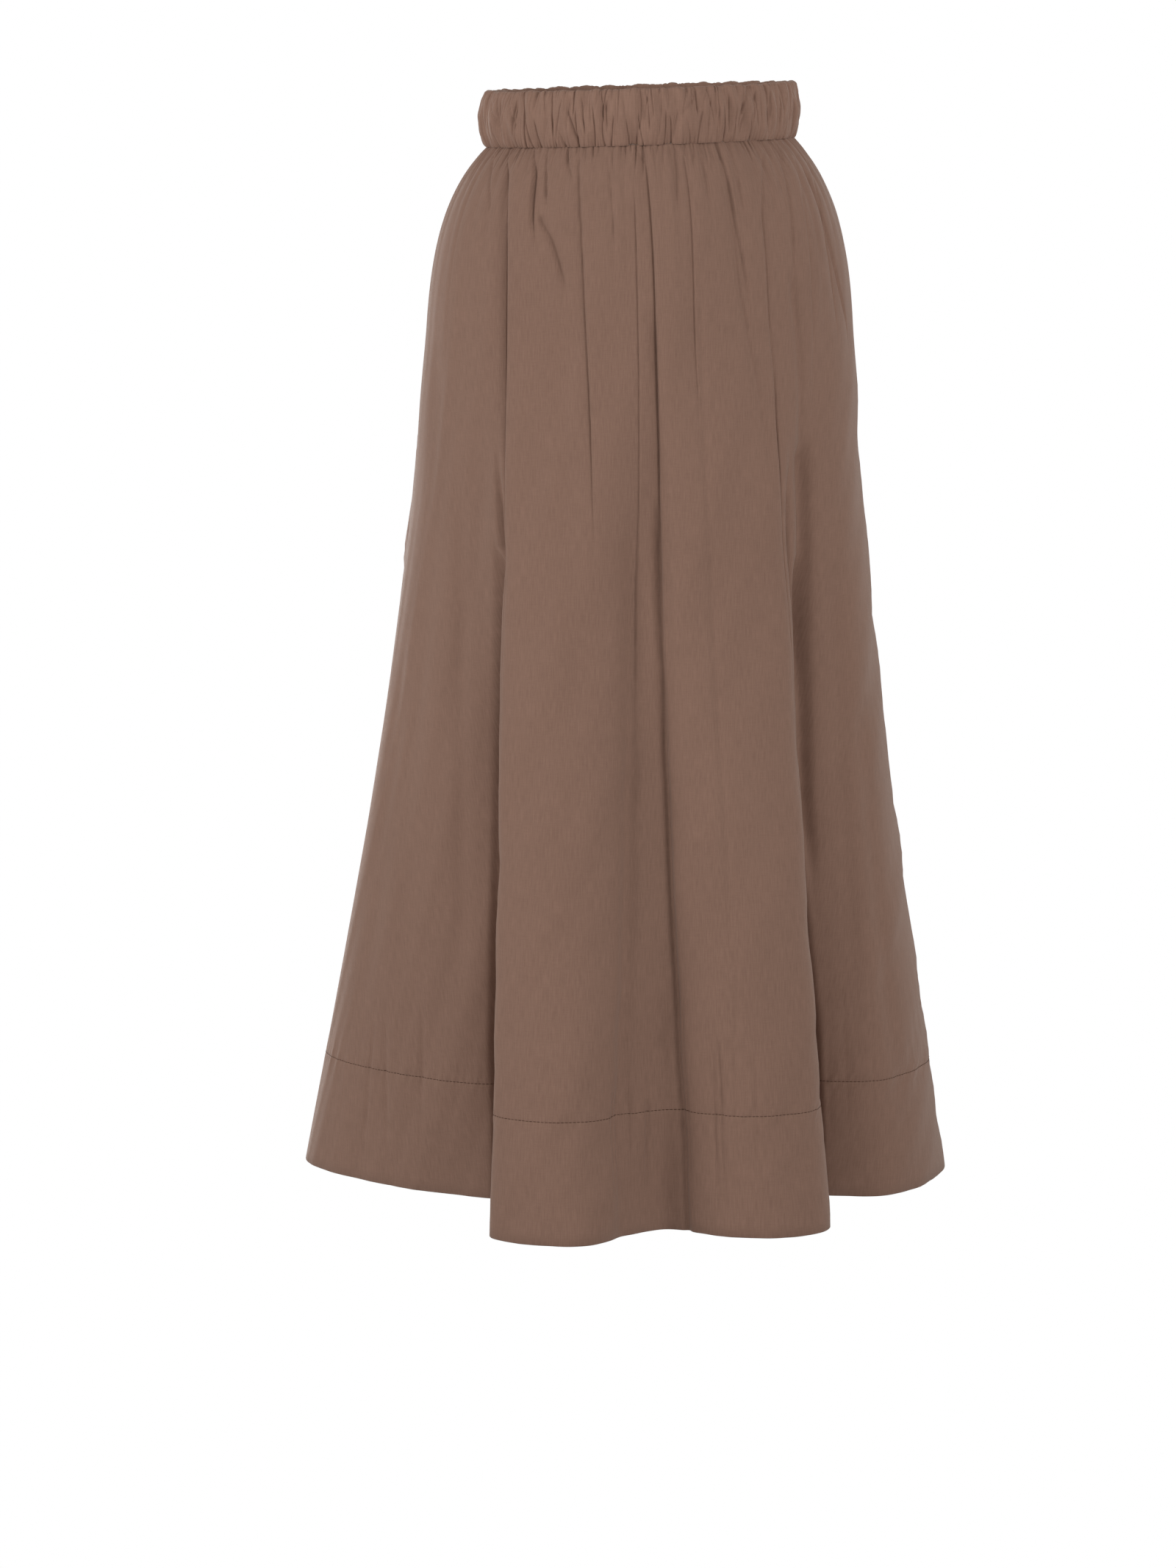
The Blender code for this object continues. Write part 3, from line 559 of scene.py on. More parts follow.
def path_angle(path, drop):
    """Where a crease's path is at this drop: a smooth curve through its points that never overshoots them."""
    drops = np.array([point[0] for point in path])
    angles = np.array([point[1] for point in path], float)
    rates = np.diff(angles) / np.diff(drops)
    same_way = rates[:-1] * rates[1:] > 0
    sums = np.where(same_way, rates[:-1] + rates[1:], 1.0)
    inner = np.where(same_way, 2 * rates[:-1] * rates[1:] / sums, 0.0)
    slopes = np.concatenate([rates[:1], inner, rates[-1:]])
    k = int(np.clip(np.searchsorted(drops, drop) - 1, 0, len(path) - 2))
    length = drops[k + 1] - drops[k]
    t = float(np.clip((drop - drops[k]) / length, 0, 1))
    return (
        (2 * t**3 - 3 * t**2 + 1) * angles[k]
        + (t**3 - 2 * t**2 + t) * length * slopes[k]
        + (3 * t**2 - 2 * t**3) * angles[k + 1]
        + (t**3 - t**2) * length * slopes[k + 1]
    )


def eased(share):
    share = min(1.0, max(0.0, share))
    return share * share * (3 - 2 * share)


def crease_profile(off, depth, width, core, lean):
    """The relief across a crease, off being the distance from its line, positive to +X."""
    valley = VALLEY_SHARE / (1 + (off / width) ** 2)
    foot = off / core + SLOT_SHIFT * np.sign(lean)
    slot = (1 - VALLEY_SHARE) * np.exp(-(foot**2))
    swell = np.exp(-((off / (LIFTED_REACH * width)) ** 2))
    slope = np.exp(-np.abs(off) / (LOW_REACH * width))
    lifted = lean * off / np.sqrt(off**2 + core**2) * np.where(off * lean > 0, swell, slope)
    return depth * (lifted - valley - slot)


def add_crease(total, crease, degrees, along, drop, held):
    """Adds a crease to one row's relief."""
    top, end = crease.path[0][0], crease.path[-1][0]
    share = (drop - top) / (end - top)
    lead = 0.0 if top == 0 else FADE_IN
    if not -lead < share < 1:
        return
    fade = eased((1 - share) / FADE_OUT) * (1.0 if top == 0 else eased((share + lead) / lead))
    for turn in (-FULL_TURN, 0.0, FULL_TURN):
        centre = path_angle(crease.path, drop) + turn
        if degrees[0] < centre < degrees[-1]:
            off = along - np.interp(centre, degrees, along)
            near = np.abs(off) < MOST_WIDTHS * crease.width
            depth = crease.depth * fade * held
            total[near] += crease_profile(off[near], depth, crease.width, crease.core, crease.lean)


def gather_table():
    random = np.random.default_rng(GATHER_SEED)
    pitch = FULL_TURN / GATHERS
    places = (np.arange(GATHERS) + random.uniform(-GATHER_SCATTER, GATHER_SCATTER, GATHERS)) * pitch
    depths = GATHER_DEPTH * random.uniform(*GATHER_DEPTHS, GATHERS)
    fades = random.uniform(*GATHER_FADE, GATHERS)
    return places, depths, fades


def gather_relief(waist_angles, drop):
    """The gathers of the model's source, each following its own cloth line down."""
    places, depths, fades = gather_table()
    reach = np.concatenate([places - FULL_TURN, places, places + FULL_TURN])
    phase = np.interp(waist_angles % FULL_TURN, reach, np.arange(-GATHERS, 2 * GATHERS))
    index = np.floor(phase).astype(int) % GATHERS
    follow = (index + 1) % GATHERS
    part = phase - np.floor(phase)
    fade = fades[index] * (1 - part) + fades[follow] * part
    depth = depths[index] * (1 - part) + depths[follow] * part
    wave = 2 * np.sqrt(np.sin(np.pi * phase) ** 2 + VALLEY_ROUNDING) - 1
    return GATHER_SHARE * depth * wave * np.exp(-((drop / fade) ** GATHER_FALL))


def pucker_table():
    """Short fine lines under the waist seam, all round: the angle, drift, depth and length of each."""
    random = np.random.default_rng(PUCKER_SEED)
    pitch = FULL_TURN / PUCKERS
    places = (np.arange(PUCKERS) + random.uniform(-PUCKER_SCATTER, PUCKER_SCATTER, PUCKERS)) * pitch
    drifts = random.normal(0, PUCKER_DRIFT, PUCKERS)
    depths = random.uniform(*PUCKER_DEPTH, PUCKERS)
    lengths = random.uniform(*PUCKER_LENGTH, PUCKERS)
    return np.stack([places + PUCKER_START, drifts, depths, lengths], axis=1)


def pucker_relief(waist_angles, along, drop):
    total = np.zeros_like(along)
    for place, drift, depth, length in pucker_table():
        if drop >= length:
            continue
        fade = eased(1 - drop / length)
        for turn in (-FULL_TURN, 0.0, FULL_TURN):
            centre = place + turn + drift * drop / length
            if waist_angles[0] < centre < waist_angles[-1]:
                off = along - np.interp(centre, waist_angles, along)
                total -= depth * fade * np.exp(-((off / PUCKER_CORE) ** 2))
    return total


def ripple_table():
    random = np.random.default_rng(RIPPLE_SEED)
    rows = []
    for ripple in RIPPLES:
        for _ in range(WAVES_PER_RIPPLE):
            across = ripple.across * random.uniform(*ACROSS_SPREAD)
            down = ripple.down * random.uniform(*DOWN_SPREAD) * random.choice((-1, 1))
            rows.append((across, down, ripple.height, random.uniform(0, 2 * math.pi)))
    return rows


def ripple_relief(along, drop):
    """Soft uneven waves, which grow below the gathers."""
    total = np.zeros_like(along)
    for across, down, height, phase in ripple_table():
        total += height * np.sin(2 * math.pi * (along / across + drop / down) + phase)
    return total * (RIPPLE_AT_TOP + (1 - RIPPLE_AT_TOP) * eased(drop / RIPPLE_DROP))


def hem_relief(along, drop):
    """The groove of the hem's stitches and the small puckers beside it."""
    off = drop - STITCH_DROP
    groove = -GROOVE_DEPTH * math.exp(-((off / GROOVE_HALF) ** 2))
    random = np.random.default_rng(STITCH_SEED)
    pucker = np.zeros_like(along)
    for _ in range(STITCH_PUCKER_WAVES):
        across = random.uniform(*STITCH_PUCKER_LENGTHS)
        pucker += np.sin(2 * math.pi * along / across + random.uniform(0, 2 * math.pi))
    return groove + STITCH_PUCKER * pucker * math.exp(-((off / STITCH_PUCKER_REACH) ** 2))


def seam_relief(u, along):
    """The side seams' folded edges, as a narrow groove on either side of each seam."""
    total = np.zeros_like(along)
    for seam in (LEFT_SEAM, RIGHT_SEAM, COUNT):
        off = along - np.interp(seam, u, along)
        total -= EDGE_ROUND * np.exp(-((off / EDGE_ROUND) ** 2))
    return total


def row_relief(u, along, drop):
    """How far the cloth stands out of its smooth form along one row."""
    degrees, waist_angles = hip_degrees(u), waist_degrees(u)
    total = gather_relief(waist_angles, drop) + pucker_relief(waist_angles, along, drop)
    held = 1 - math.exp(-drop / SEAM_HOLD)
    for crease in CREASES + SOFT_FOLDS + HEM_CREASES:
        add_crease(total, crease, degrees, along, drop, held)
    return total + ripple_relief(along, drop) + hem_relief(along, drop) + seam_relief(u, along)


def column_places(first_u, last_u, count):
    """Columns spread by angle at the hip, closer at the sharpest lines, and partly by the hem's width."""
    u = np.linspace(first_u, last_u, FINE_STEPS)
    hip = hip_degrees(u)
    hem = lengths_along(outline(u, FULL_DROP))
    near = sum(np.exp(-(((hip - line) / CLOSE_REACH) ** 2)) for line in CLOSE_LINES)
    gain = 1 + CLOSE_GAIN * near
    turned = np.concatenate([[0.0], np.cumsum(np.diff(hip) * gain[1:])])
    share = (1 - HEM_SHARE) * turned / turned[-1] + HEM_SHARE * hem / hem[-1]
    return np.interp(np.linspace(0, 1, count), share, u)


def row_drops():
    """The rows' drops, close together at the waist seam and at the hem's stitches. Their number is odd."""
    drops = [0.0]
    for end, steps in ROW_SPANS:
        drops += list(np.linspace(drops[-1], end, steps + 1)[1:])
    return np.array(drops + [FULL_DROP])


def lowest_near(relief):
    """The lowest relief next to each point, so that the inner skin stays behind every narrow crease."""
    padded = np.pad(relief, 2, mode="edge")
    rows, columns = relief.shape
    shifts = [padded[i : i + rows, j : j + columns] for i in (1, 2, 3) for j in range(5)]
    return np.min(shifts, axis=0)


def cloth_grid():
    """The whole ring of cloth: its columns, rows, outer skin, inner skin and the lengths along each row."""
    front = column_places(LEFT_SEAM, RIGHT_SEAM, FRONT_COLUMNS)
    back = column_places(RIGHT_SEAM, COUNT, BACK_COLUMNS)
    lead = np.linspace(-LEAD_U, 0, LEAD_STEPS + 1)[:-1]
    u = np.concatenate([lead, front, back[1:], COUNT - lead[::-1]])
    drops = row_drops()
    plans, normals, relief, lengths = [], [], [], []
    for drop in drops:
        plan = outline(u, drop)
        along = lengths_along(plan)
        plans.append(plan)
        normals.append(outward_of(outline(u - U_STEP, drop), outline(u + U_STEP, drop)))
        relief.append(row_relief(u, along, drop))
        lengths.append(along)
    plans, normals, relief = np.array(plans), np.array(normals), np.array(relief)
    tucked = EDGE_ROUND * (drops == FULL_DROP) + TOP_TUCK * np.exp(-((drops / TOP_TUCK_REACH) ** 2))
    wall = np.where(drops < STITCH_DROP, WALL, HEM_WALL) - tucked / 2
    share = drops / FULL_DROP
    lift = WAIST_HALF_WIDTH * np.sin(np.radians(waist_degrees(u))) * math.tan(WAIST_TILT)
    height = (SEAM_Z + lift)[None, :] * (1 - share)[:, None] + HEM_Z * share[:, None]
    skins = []
    for out in (relief - tucked[:, None], lowest_near(relief) - wall[:, None] - tucked[:, None]):
        plan = plans + normals * out[:, :, None]
        skins.append(np.dstack([plan, height]))
    return u, drops, skins[0], skins[1], np.array(lengths)


def grid_faces(index, flip):
    """Quads over a grid of vertex numbers."""
    corners = (index[:-1, :-1], index[1:, :-1], index[1:, 1:], index[:-1, 1:])
    faces = np.stack([corner.ravel() for corner in corners], axis=1)
    return (faces[:, ::-1] if flip else faces).tolist()


def rim_faces(outer, inner, flip):
    """Triangles between an edge of the outer skin and the same edge of the inner one, with fewer points."""
    faces = []
    for k in range(len(inner) - 1):
        a, b, c = outer[INNER_STEP * k : INNER_STEP * k + 3]
        d, e = inner[k], inner[k + 1]
        faces += [[a, b, d], [b, e, d], [b, c, e]]
    return [face[::-1] for face in faces] if flip else faces


def make_piece(name, points, faces, places, material):
    """A mesh piece that rides on the skirt, with the cloth's own coordinates as a map in metres."""
    mesh = bpy.data.meshes.new(name)
    mesh.from_pydata(points.tolist(), [], faces)
    corners = np.empty(len(mesh.loops), np.int32)
    mesh.loops.foreach_get("vertex_index", corners)
    layer = mesh.uv_layers.new(name=CLOTH_MAP)
    layer.uv.foreach_set("vector", places[corners].astype(np.float32).ravel())
    mesh.shade_smooth()
    mesh.materials.append(material)
    mesh.validate()
    piece = bpy.data.objects.new(name, mesh)
    bpy.context.scene.collection.objects.link(piece)
    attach(piece, "root")
    return piece


def pull_in(points, gap):
    """Moves the first and the last point of each row in by half the gap of a seam."""
    for edge, beside in ((0, 1), (-1, -2)):
        step = points[:, beside] - points[:, edge]
        points[:, edge] += step * (gap / 2 / np.linalg.norm(step, axis=1))[:, None]


def add_panel(name, grid, first_u, last_u, cuts, material):
    """One panel of the skirt: its outer skin, a coarser inner skin and the four rims."""
    u, drops, outer, inner, lengths = grid
    chosen = (u >= first_u - U_SLACK) & (u <= last_u + U_SLACK)
    outer, lengths = outer[:, chosen].copy(), lengths[:, chosen]
    inner = inner[::INNER_STEP, chosen][:, ::INNER_STEP].copy()
    pull_in(outer, SEAM_GAP)
    inner[0, :, 2] += SEAM_CLOSE
    rows, columns = outer.shape[:2]
    outer_index = np.arange(rows * columns).reshape(rows, columns)
    inner_index = rows * columns + np.arange(inner.shape[0] * inner.shape[1]).reshape(inner.shape[:2])
    faces = grid_faces(outer_index, False) + grid_faces(inner_index, True)
    faces += rim_faces(outer_index[0], inner_index[0], False)
    faces += rim_faces(outer_index[-1], inner_index[-1], True)
    faces += rim_faces(outer_index[:, 0], inner_index[:, 0], True)
    faces += rim_faces(outer_index[:, -1], inner_index[:, -1], False)
    middle = (lengths[:, :1] + lengths[:, -1:]) / 2
    span = lengths[:, -1:] - lengths[:, :1]
    cut = cuts[0] + (cuts[1] - cuts[0]) * drops[:, None] / FULL_DROP
    across = (lengths - middle) / span * cut
    down = np.broadcast_to(-drops[:, None], across.shape)
    places = np.stack([across, down], axis=-1)
    inner_places = places[::INNER_STEP, ::INNER_STEP]
    places = np.concatenate([places.reshape(-1, 2), inner_places.reshape(-1, 2)])
    points = np.concatenate([outer.reshape(-1, 3), inner.reshape(-1, 3)])
    return make_piece(name, points, faces, places, material)


def band_section():
    """The waistband's section, once round, with a round fold on top: the shares of the wall inwards, of the
    height upwards and of the relief."""
    fold = BAND_WALL / 2 / BAND_HEIGHT
    shoulder = 0.5 - fold
    outer = [(0.0, up, 1.0) for up in BAND_LOW_UPS]
    outer += [(0.0, up, 1.0) for up in np.linspace(BAND_FIRST_UP, shoulder, BAND_ROWS)]
    over = []
    for angle in np.linspace(0, math.pi, BAND_FOLD_ROWS + 2)[1:-1]:
        shown = 1 - BAND_FOLD_LOSS * angle / math.pi
        over.append(((1 - math.cos(angle)) / 2, shoulder + fold * math.sin(angle), shown))
    inner = [(1.0, up, BAND_INSIDE) for up in np.linspace(shoulder, BAND_FIRST_UP, BAND_INNER_ROWS)]
    return np.array(outer + over + inner)


def hidden_band_creases():
    """Creases like those of BAND_CREASES for the sides and the back."""
    random = np.random.default_rng(BAND_SEED)
    found = []
    place = HIDDEN_FROM
    while place < HIDDEN_TO:
        slant, bow = random.normal(0, HIDDEN_SLANT), random.normal(0, HIDDEN_BOW)
        top = random.choice(HIDDEN_TOPS[0], p=HIDDEN_TOPS[1])
        end = random.choice(HIDDEN_ENDS[0], p=HIDDEN_ENDS[1])
        depth, core = random.uniform(*HIDDEN_DEPTH), random.uniform(*HIDDEN_CORE)
        lean = random.choice(BAND_LEANS)
        found.append(BandCrease(place + slant, place + bow, place - slant, top, end, depth, core, lean))
        place += random.uniform(*HIDDEN_STEP)
    return found


def fine_band_creases():
    """Short fine creases between the others, all round."""
    random = np.random.default_rng(BAND_FINE_SEED)
    found = []
    for k in range(BAND_FINE):
        place = (k + random.uniform(-FINE_SCATTER, FINE_SCATTER)) * FULL_TURN / BAND_FINE
        slant, length = random.normal(0, FINE_SLANT), random.uniform(*FINE_LENGTH)
        top = random.choice((0.5, length - 0.5, FINE_LOWER_TOP), p=FINE_ODDS)
        end = max(-0.5, top - length)
        depth, core = random.uniform(*FINE_DEPTH), random.uniform(*FINE_CORE)
        lean = random.choice(BAND_LEANS)
        found.append(BandCrease(place + slant, place, place - slant, top, end, depth, core, lean))
    return found


def turned_off(degrees, centre):
    """The angle from a line, over a grid of heights and angles, at most half a turn either way."""
    return (degrees[None, :] - centre[:, None] + FULL_TURN / 2) % FULL_TURN - FULL_TURN / 2


def band_relief(degrees, ups):
    """The waistband's relief over a grid of heights and angles."""
    metres = 2 * math.pi * (WAIST_HALF_WIDTH + WAIST_HALF_DEPTH) / 2 / FULL_TURN
    total = np.zeros((len(ups), len(degrees)))
    for crease in list(BAND_CREASES) + hidden_band_creases() + fine_band_creases():
        top, end = min(0.5, crease.top + BAND_REACH), max(-0.5, crease.end - BAND_REACH)
        share = (top - ups) / (top - end)
        t = np.clip(share, -BAND_OVERRUN, 1 + BAND_OVERRUN)
        centre = (1 - t) * (1 - 2 * t) * crease.top_deg + 4 * t * (1 - t) * crease.mid_deg
        centre += t * (2 * t - 1) * crease.end_deg
        off = turned_off(degrees, centre) * metres
        open_top = 1.0 if top >= 0.5 else 0.0
        open_end = 1.0 if end <= -0.5 else 0.0
        fade = np.maximum(np.clip(share / BAND_FADE, 0, 1), open_top * (share < 0.5))
        fade *= np.maximum(np.clip((1 - share) / BAND_FADE, 0, 1), open_end * (share > 0.5))
        profile = crease_profile(off, crease.depth, BAND_VALLEY, crease.core, crease.lean)
        total += profile * fade[:, None]
    random = np.random.default_rng(BAND_PUCKER_SEED)
    for k in range(BAND_PUCKERS):
        place = k + random.uniform(-BAND_PUCKER_SCATTER, BAND_PUCKER_SCATTER)
        depth = random.uniform(*BAND_PUCKER_DEPTH)
        reach = BAND_PUCKER_REACH * random.uniform(*BAND_PUCKER_SPREAD)
        low = np.exp(-(((ups + 0.5) / reach) ** 2))
        high = BAND_PUCKER_HIGH * np.exp(-(((ups - 0.5) / (reach * BAND_PUCKER_HIGH)) ** 2))
        slant = random.normal(0, BAND_PUCKER_SLANT) * (ups + 0.5)
        off = turned_off(degrees, place * FULL_TURN / BAND_PUCKERS + slant) * metres
        total -= depth * np.exp(-((off / BAND_PUCKER_CORE) ** 2)) * (low + high)[:, None]
    for _ in range(BAND_WAVES):
        waves = int(random.integers(*BAND_WAVE_COUNTS))
        lean = random.uniform(-BAND_WAVE_LEAN, BAND_WAVE_LEAN)
        phase = random.uniform(0, 2 * math.pi)
        wave = np.sin(np.radians(degrees)[None, :] * waves + lean * ups[:, None] * math.pi + phase)
        total += BAND_WAVE_HEIGHT * wave
    return total


def add_waistband(material):
    """The waistband: a ruched tube round the elastic, fuller in its middle."""
    even = np.linspace(0, FULL_TURN, BAND_EVEN_STEPS)
    density = 1 + BAND_FRONT_GAIN * np.clip(np.cos(np.radians(even)) * 2, 0, 1)
    turned = np.concatenate([[0.0], np.cumsum(density[1:])])
    degrees = np.interp(np.linspace(0, turned[-1], BAND_COLUMNS, endpoint=False), turned, even)
    inward, ups, shown = band_section().T
    relief = band_relief(degrees, ups) * shown[:, None]
    swell = np.interp(ups, BAND_SWELL_UPS, BAND_SWELL_SHARES)
    kernel = np.array(BAND_SWELL_KERNEL) / sum(BAND_SWELL_KERNEL)
    outer = slice(0, len(BAND_LOW_UPS) + BAND_ROWS)
    swell[outer] = np.convolve(np.pad(swell[outer], len(kernel) // 2, mode="edge"), kernel, mode="valid")
    swell = np.where(inward > 0.5, BAND_INNER_SWELL, swell)
    base = oval(degrees, WAIST_HALF_WIDTH, WAIST_HALF_DEPTH, WAIST_HALF_DEPTH)
    outward = outward_of(np.roll(base, 1, axis=0), np.roll(base, -1, axis=0))
    fuller = 1 + BAND_LEFT_SWELL * np.clip(-np.sin(np.radians(degrees)), 0, 1) ** 2
    out = (swell * BAND_BULGE)[:, None] * fuller[None, :] - (inward * BAND_WALL)[:, None] + relief
    plan = base[None] + outward[None] * out[:, :, None]
    raised = np.clip((ups - BAND_TOP_FROM) / (0.5 - BAND_TOP_FROM), 0, 1)
    top_wave = relief[BAND_TOP_ROW][None, :] * BAND_TOP_GAIN * raised[:, None]
    height = ups[:, None] * BAND_HEIGHT + base[None, :, 0] * math.tan(WAIST_TILT) + top_wave
    points = np.dstack([plan, height])
    rows, columns = height.shape
    index = np.arange(rows * columns).reshape(rows, columns)
    index = np.concatenate([index, index[:1]])
    index = np.concatenate([index, index[:, :1]], axis=1)
    across = np.broadcast_to(degrees[None, :] / FULL_TURN * BAND_CUT, height.shape)
    down = np.broadcast_to((ups * BAND_HEIGHT)[:, None], height.shape)
    places = np.stack([across, down], axis=-1).reshape(-1, 2)
    faces = grid_faces(index, True)
    return make_piece("waistband_cloth", points.reshape(-1, 3), faces, places, material)


def add_stitches(name, grid, first_u, last_u, material):
    """The hem's topstitching on one panel: short threads that lie on the cloth, end to end."""
    u, drops, outer, _, _ = grid
    chosen = (u >= first_u) & (u <= last_u)
    row = outer[int(np.argmin(np.abs(drops - STITCH_DROP)))][chosen]
    along = lengths_along(row)
    rings, sides = THREAD_RINGS, THREAD_SIDES
    spread = np.sin(np.linspace(THREAD_END, math.pi - THREAD_END, rings))
    angles = np.linspace(0, 2 * math.pi, sides, endpoint=False)
    points, faces = [], []
    for start in np.arange(STITCH_PITCH, along[-1] - STITCH_PITCH, STITCH_PITCH):
        at = np.linspace(start, start + STITCH_LENGTH, rings)
        line = np.stack([np.interp(at, along, row[:, k]) for k in range(3)], axis=1)
        forward = line[-1] - line[0]
        forward /= np.linalg.norm(forward)
        out = np.array([forward[1], -forward[0], 0.0])
        out /= np.linalg.norm(out)
        up = np.cross(out, forward)
        first = len(points)
        for place, wide in zip(line, spread):
            lifted = place + out * THREAD_RADIUS * (THREAD_RISE * wide - THREAD_SUNK)
            for angle in angles:
                side = out * math.cos(angle) + up * math.sin(angle)
                points.append(lifted + side * THREAD_RADIUS * wide)
        for k in range(rings - 1):
            for j in range(sides):
                a, b = first + k * sides + j, first + k * sides + (j + 1) % sides
                faces.append([a, b, b + sides, a + sides])
        faces.append([first + j for j in range(sides)][::-1])
        faces.append([first + (rings - 1) * sides + j for j in range(sides)])
    points = np.array(points)
    return make_piece(name, points, faces, points[:, [0, 2]], material)


def with_values(node, values):
    """Sets these inputs of a node."""
    for name, value in values.items():
        node.inputs[name].default_value = value
    return node


def new_material(name, values):
    material = bpy.data.materials.new(name)
    material.use_nodes = True
    shader = with_values(material.node_tree.nodes["Principled BSDF"], values)
    return material, material.node_tree.nodes, material.node_tree.links, shader


def add_bump(nodes, links, height, shader, values):
    bump = with_values(nodes.new("ShaderNodeBump"), values)
    links.new(height, bump.inputs["Height"])
    links.new(bump.outputs["Normal"], shader.inputs["Normal"])


def lighter(colour, gain):
    return tuple(part * gain for part in colour[:3]) + (1.0,)


def cloth_material(name, gain):
    """A fine plain weave with slubs along the grain, a little uneven in colour, matt with a faint sheen."""
    material, nodes, links, shader = new_material(name, CLOTH_LOOK | {"Base Color": lighter(LIT_BROWN, gain)})
    cloth = nodes.new("ShaderNodeUVMap")
    cloth.uv_map = CLOTH_MAP

    def pattern(kind, mapped, values):
        """A texture over the cloth's own coordinates."""
        mapping = with_values(nodes.new("ShaderNodeMapping"), mapped)
        texture = with_values(nodes.new(kind), values)
        links.new(cloth.outputs["UV"], mapping.inputs["Vector"])
        links.new(mapping.outputs["Vector"], texture.inputs["Vector"])
        return texture.outputs["Fac"]

    def noise(across, down, detail):
        """Noise with this many grains to a metre across and down the cloth."""
        values = {"Scale": 1.0, "Detail": detail, "Roughness": 0.6}
        return pattern("ShaderNodeTexNoise", {"Scale": (across, down, 1.0)}, values)

    def wave(turn, count):
        """Threads, this many to a metre."""
        values = {"Scale": count / WAVES_PER_UNIT, "Distortion": 1.4, "Detail": 1.0}
        return pattern("ShaderNodeTexWave", {"Rotation": (0.0, 0.0, turn)}, values)

    def summed(first, second, share):
        """The first and this share of the second."""
        mix = nodes.new("ShaderNodeMath")
        mix.operation = "MULTIPLY_ADD"
        mix.inputs[1].default_value = share
        links.new(second, mix.inputs[0])
        links.new(first, mix.inputs[2])
        return mix.outputs[0]

    slubs = noise(*SLUBS)
    uneven = summed(summed(slubs, noise(*WEFT_SLUBS), WEFT_SHARE), noise(*MOTTLE), MOTTLE_SHARE)
    ramp = nodes.new("ShaderNodeValToRGB")
    ends = zip(ramp.color_ramp.elements, RAMP_ENDS, (DEEP_BROWN, LIT_BROWN))
    for element, position, colour in ends:
        element.position = position
        element.color = lighter(colour, gain)
    links.new(uneven, ramp.inputs["Fac"])
    links.new(ramp.outputs["Color"], shader.inputs["Base Color"])
    weave = summed(wave(0.0, WARP_THREADS), wave(math.pi / 2, WEFT_THREADS), WEFT_HEIGHT)
    add_bump(nodes, links, summed(weave, slubs, SLUB_HEIGHT), shader, CLOTH_BUMP)
    return material


def thread_material():
    """Twisted sewing thread."""
    material, nodes, links, shader = new_material("stitch_thread", THREAD_LOOK)
    place = nodes.new("ShaderNodeTexCoord")
    twist = with_values(nodes.new("ShaderNodeTexWave"), {"Scale": TWIST_SCALE})
    twist.bands_direction = "DIAGONAL"
    links.new(place.outputs["Object"], twist.inputs["Vector"])
    add_bump(nodes, links, twist.outputs["Fac"], shader, THREAD_BUMP)
    return material


def add_skirt():
    grid = cloth_grid()
    panel_cloth = cloth_material("skirt_panel_cloth", 1.0)
    # painted light: the waistband gets a copy of the panel cloth painted lighter, to offset the shade in its
    # creases
    band_cloth = cloth_material("skirt_band_cloth", BAND_PAINTED_LIGHT)
    thread = thread_material()
    panels = (
        ("front", LEFT_SEAM, RIGHT_SEAM, FRONT_TOP_CUT, FRONT_HEM_CUT),
        ("back", RIGHT_SEAM, COUNT, BACK_TOP_CUT, BACK_HEM_CUT),
    )
    for side, first_u, last_u, top_cut, hem_cut in panels:
        panel = add_panel(side + "_cloth", grid, first_u, last_u, (top_cut, hem_cut), panel_cloth)
        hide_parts(side + "_panel")
        stitches = add_stitches(side + "_hem_stitches", grid, first_u, last_u, thread)
    band = add_waistband(band_cloth)
    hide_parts("waistband")


def add_light(name, turn, rise, distance, size, power, aim, beam):
    """A large soft light that faces the skirt."""
    data = bpy.data.lights.new(name, "AREA")
    data.shape = "SQUARE"
    data.size = size
    data.energy = power
    data.spread = math.radians(beam)
    light = bpy.data.objects.new(name, data)
    turn, rise = math.radians(turn), math.radians(rise)
    level = distance * math.cos(rise)
    height = aim + distance * math.sin(rise)
    light.location = (level * math.sin(turn), -level * math.cos(turn), height)
    light.rotation_euler = (math.pi / 2 - rise, 0.0, turn)
    bpy.context.scene.collection.objects.link(light)


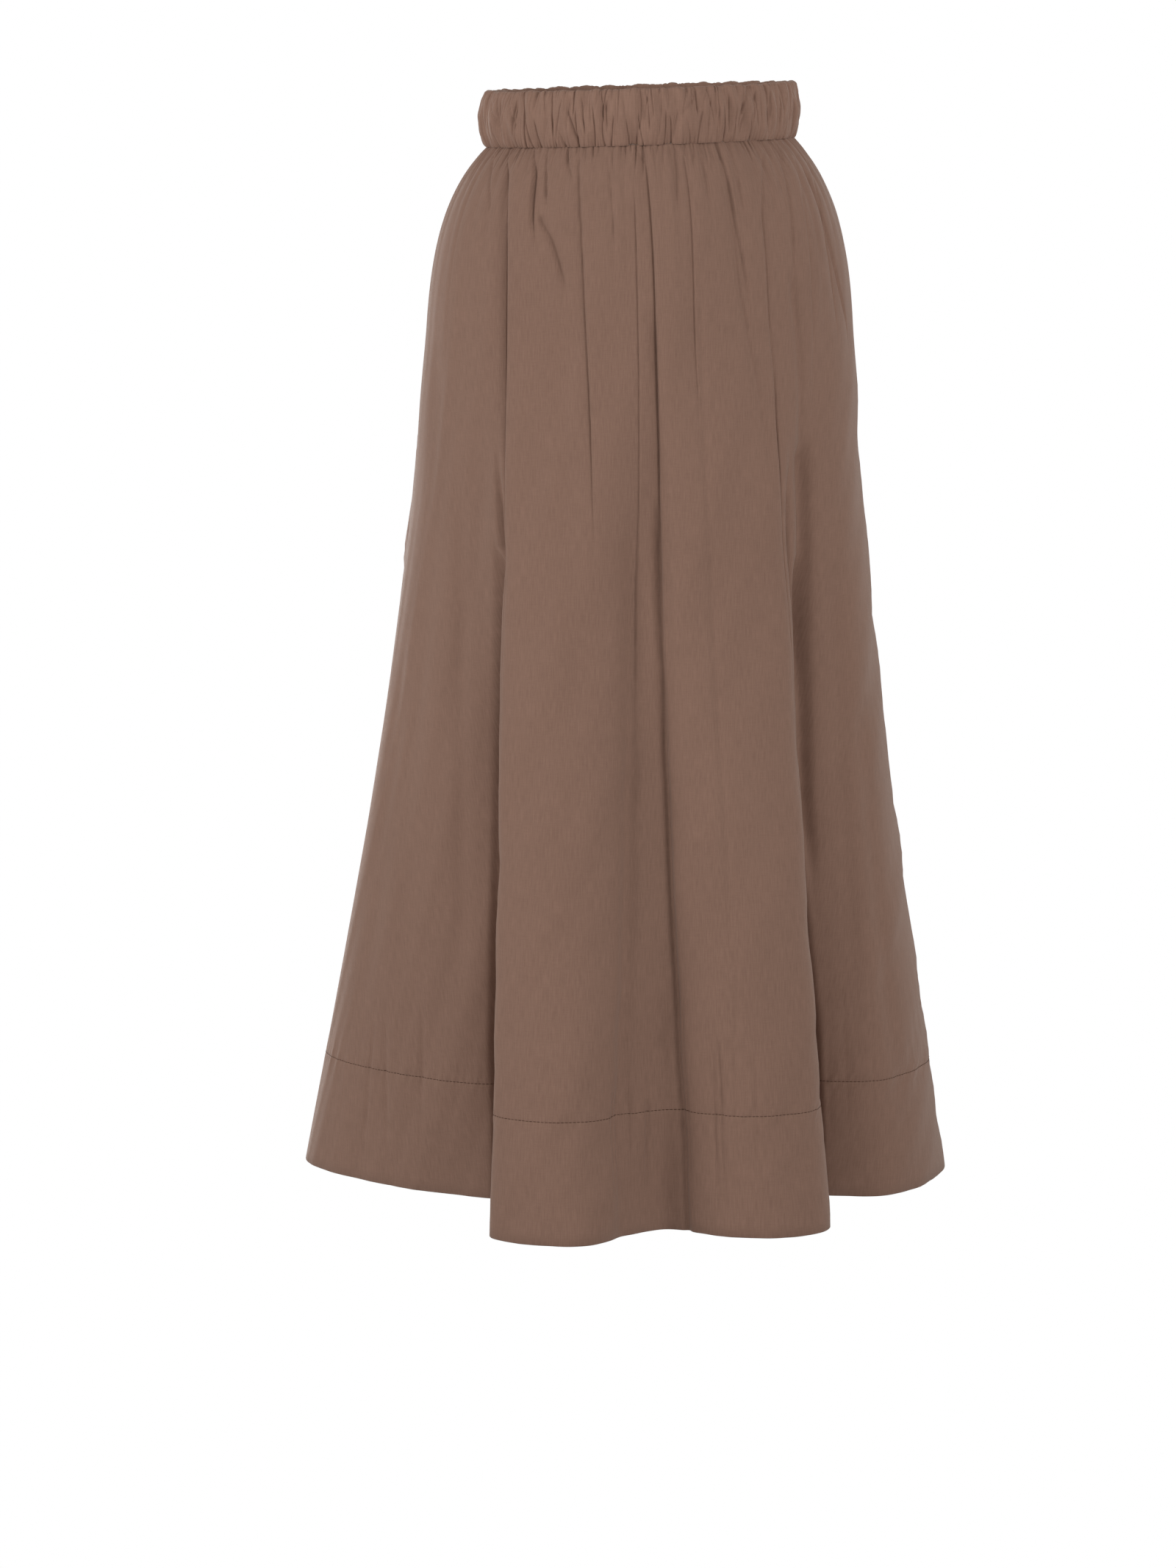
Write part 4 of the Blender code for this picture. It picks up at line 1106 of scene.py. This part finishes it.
def white_surround(tree, target):
    """White to the camera, and less bright in the light that it casts."""
    path = tree.nodes.new("ShaderNodeLightPath")
    strength = tree.nodes.new("ShaderNodeMapRange")
    strength.inputs["To Min"].default_value = SURROUND
    strength.inputs["To Max"].default_value = 1.0
    target.inputs["Color"].default_value = (1.0, 1.0, 1.0, 1.0)
    tree.links.new(path.outputs["Is Camera Ray"], strength.inputs["Value"])
    tree.links.new(strength.outputs["Result"], target.inputs["Strength"])


def add_floor():
    """The plain white floor of the studio, which runs on into the backdrop."""
    material = bpy.data.materials.new("studio_floor")
    material.use_nodes = True
    nodes = material.node_tree.nodes
    nodes.remove(nodes["Principled BSDF"])
    glow = nodes.new("ShaderNodeEmission")
    white_surround(material.node_tree, glow)
    material.node_tree.links.new(glow.outputs["Emission"], nodes["Material Output"].inputs["Surface"])
    mesh = bpy.data.meshes.new("floor")
    corners = [(x * FLOOR_HALF, y * FLOOR_HALF, FLOOR_Z) for x, y in ((-1, -1), (1, -1), (1, 1), (-1, 1))]
    mesh.from_pydata(corners, [], [(0, 1, 2, 3)])
    mesh.materials.append(material)
    floor = bpy.data.objects.new("floor", mesh)
    bpy.context.scene.collection.objects.link(floor)


def add_studio():
    """A white backdrop and floor, and five large lamps."""
    world = bpy.data.worlds.new("studio")
    world.use_nodes = True
    white_surround(world.node_tree, world.node_tree.nodes["Background"])
    bpy.context.scene.world = world
    bpy.context.scene.view_settings.view_transform = "Standard"
    for lamp in LAMPS:
        add_light(*lamp)
    add_floor()


def add_camera():
    data = bpy.data.cameras.new("camera")
    data.sensor_fit = "VERTICAL"
    data.sensor_height = SENSOR_HEIGHT
    data.lens = FOCAL_PIXELS / PHOTO_HEIGHT * SENSOR_HEIGHT
    camera = bpy.data.objects.new("camera", data)
    camera.location = CAMERA_PLACE
    camera.rotation_euler = (math.pi / 2 - CAMERA_PITCH, 0.0, 0.0)
    bpy.context.scene.collection.objects.link(camera)
    bpy.context.scene.camera = camera


add_camera()
add_studio()
add_skirt()
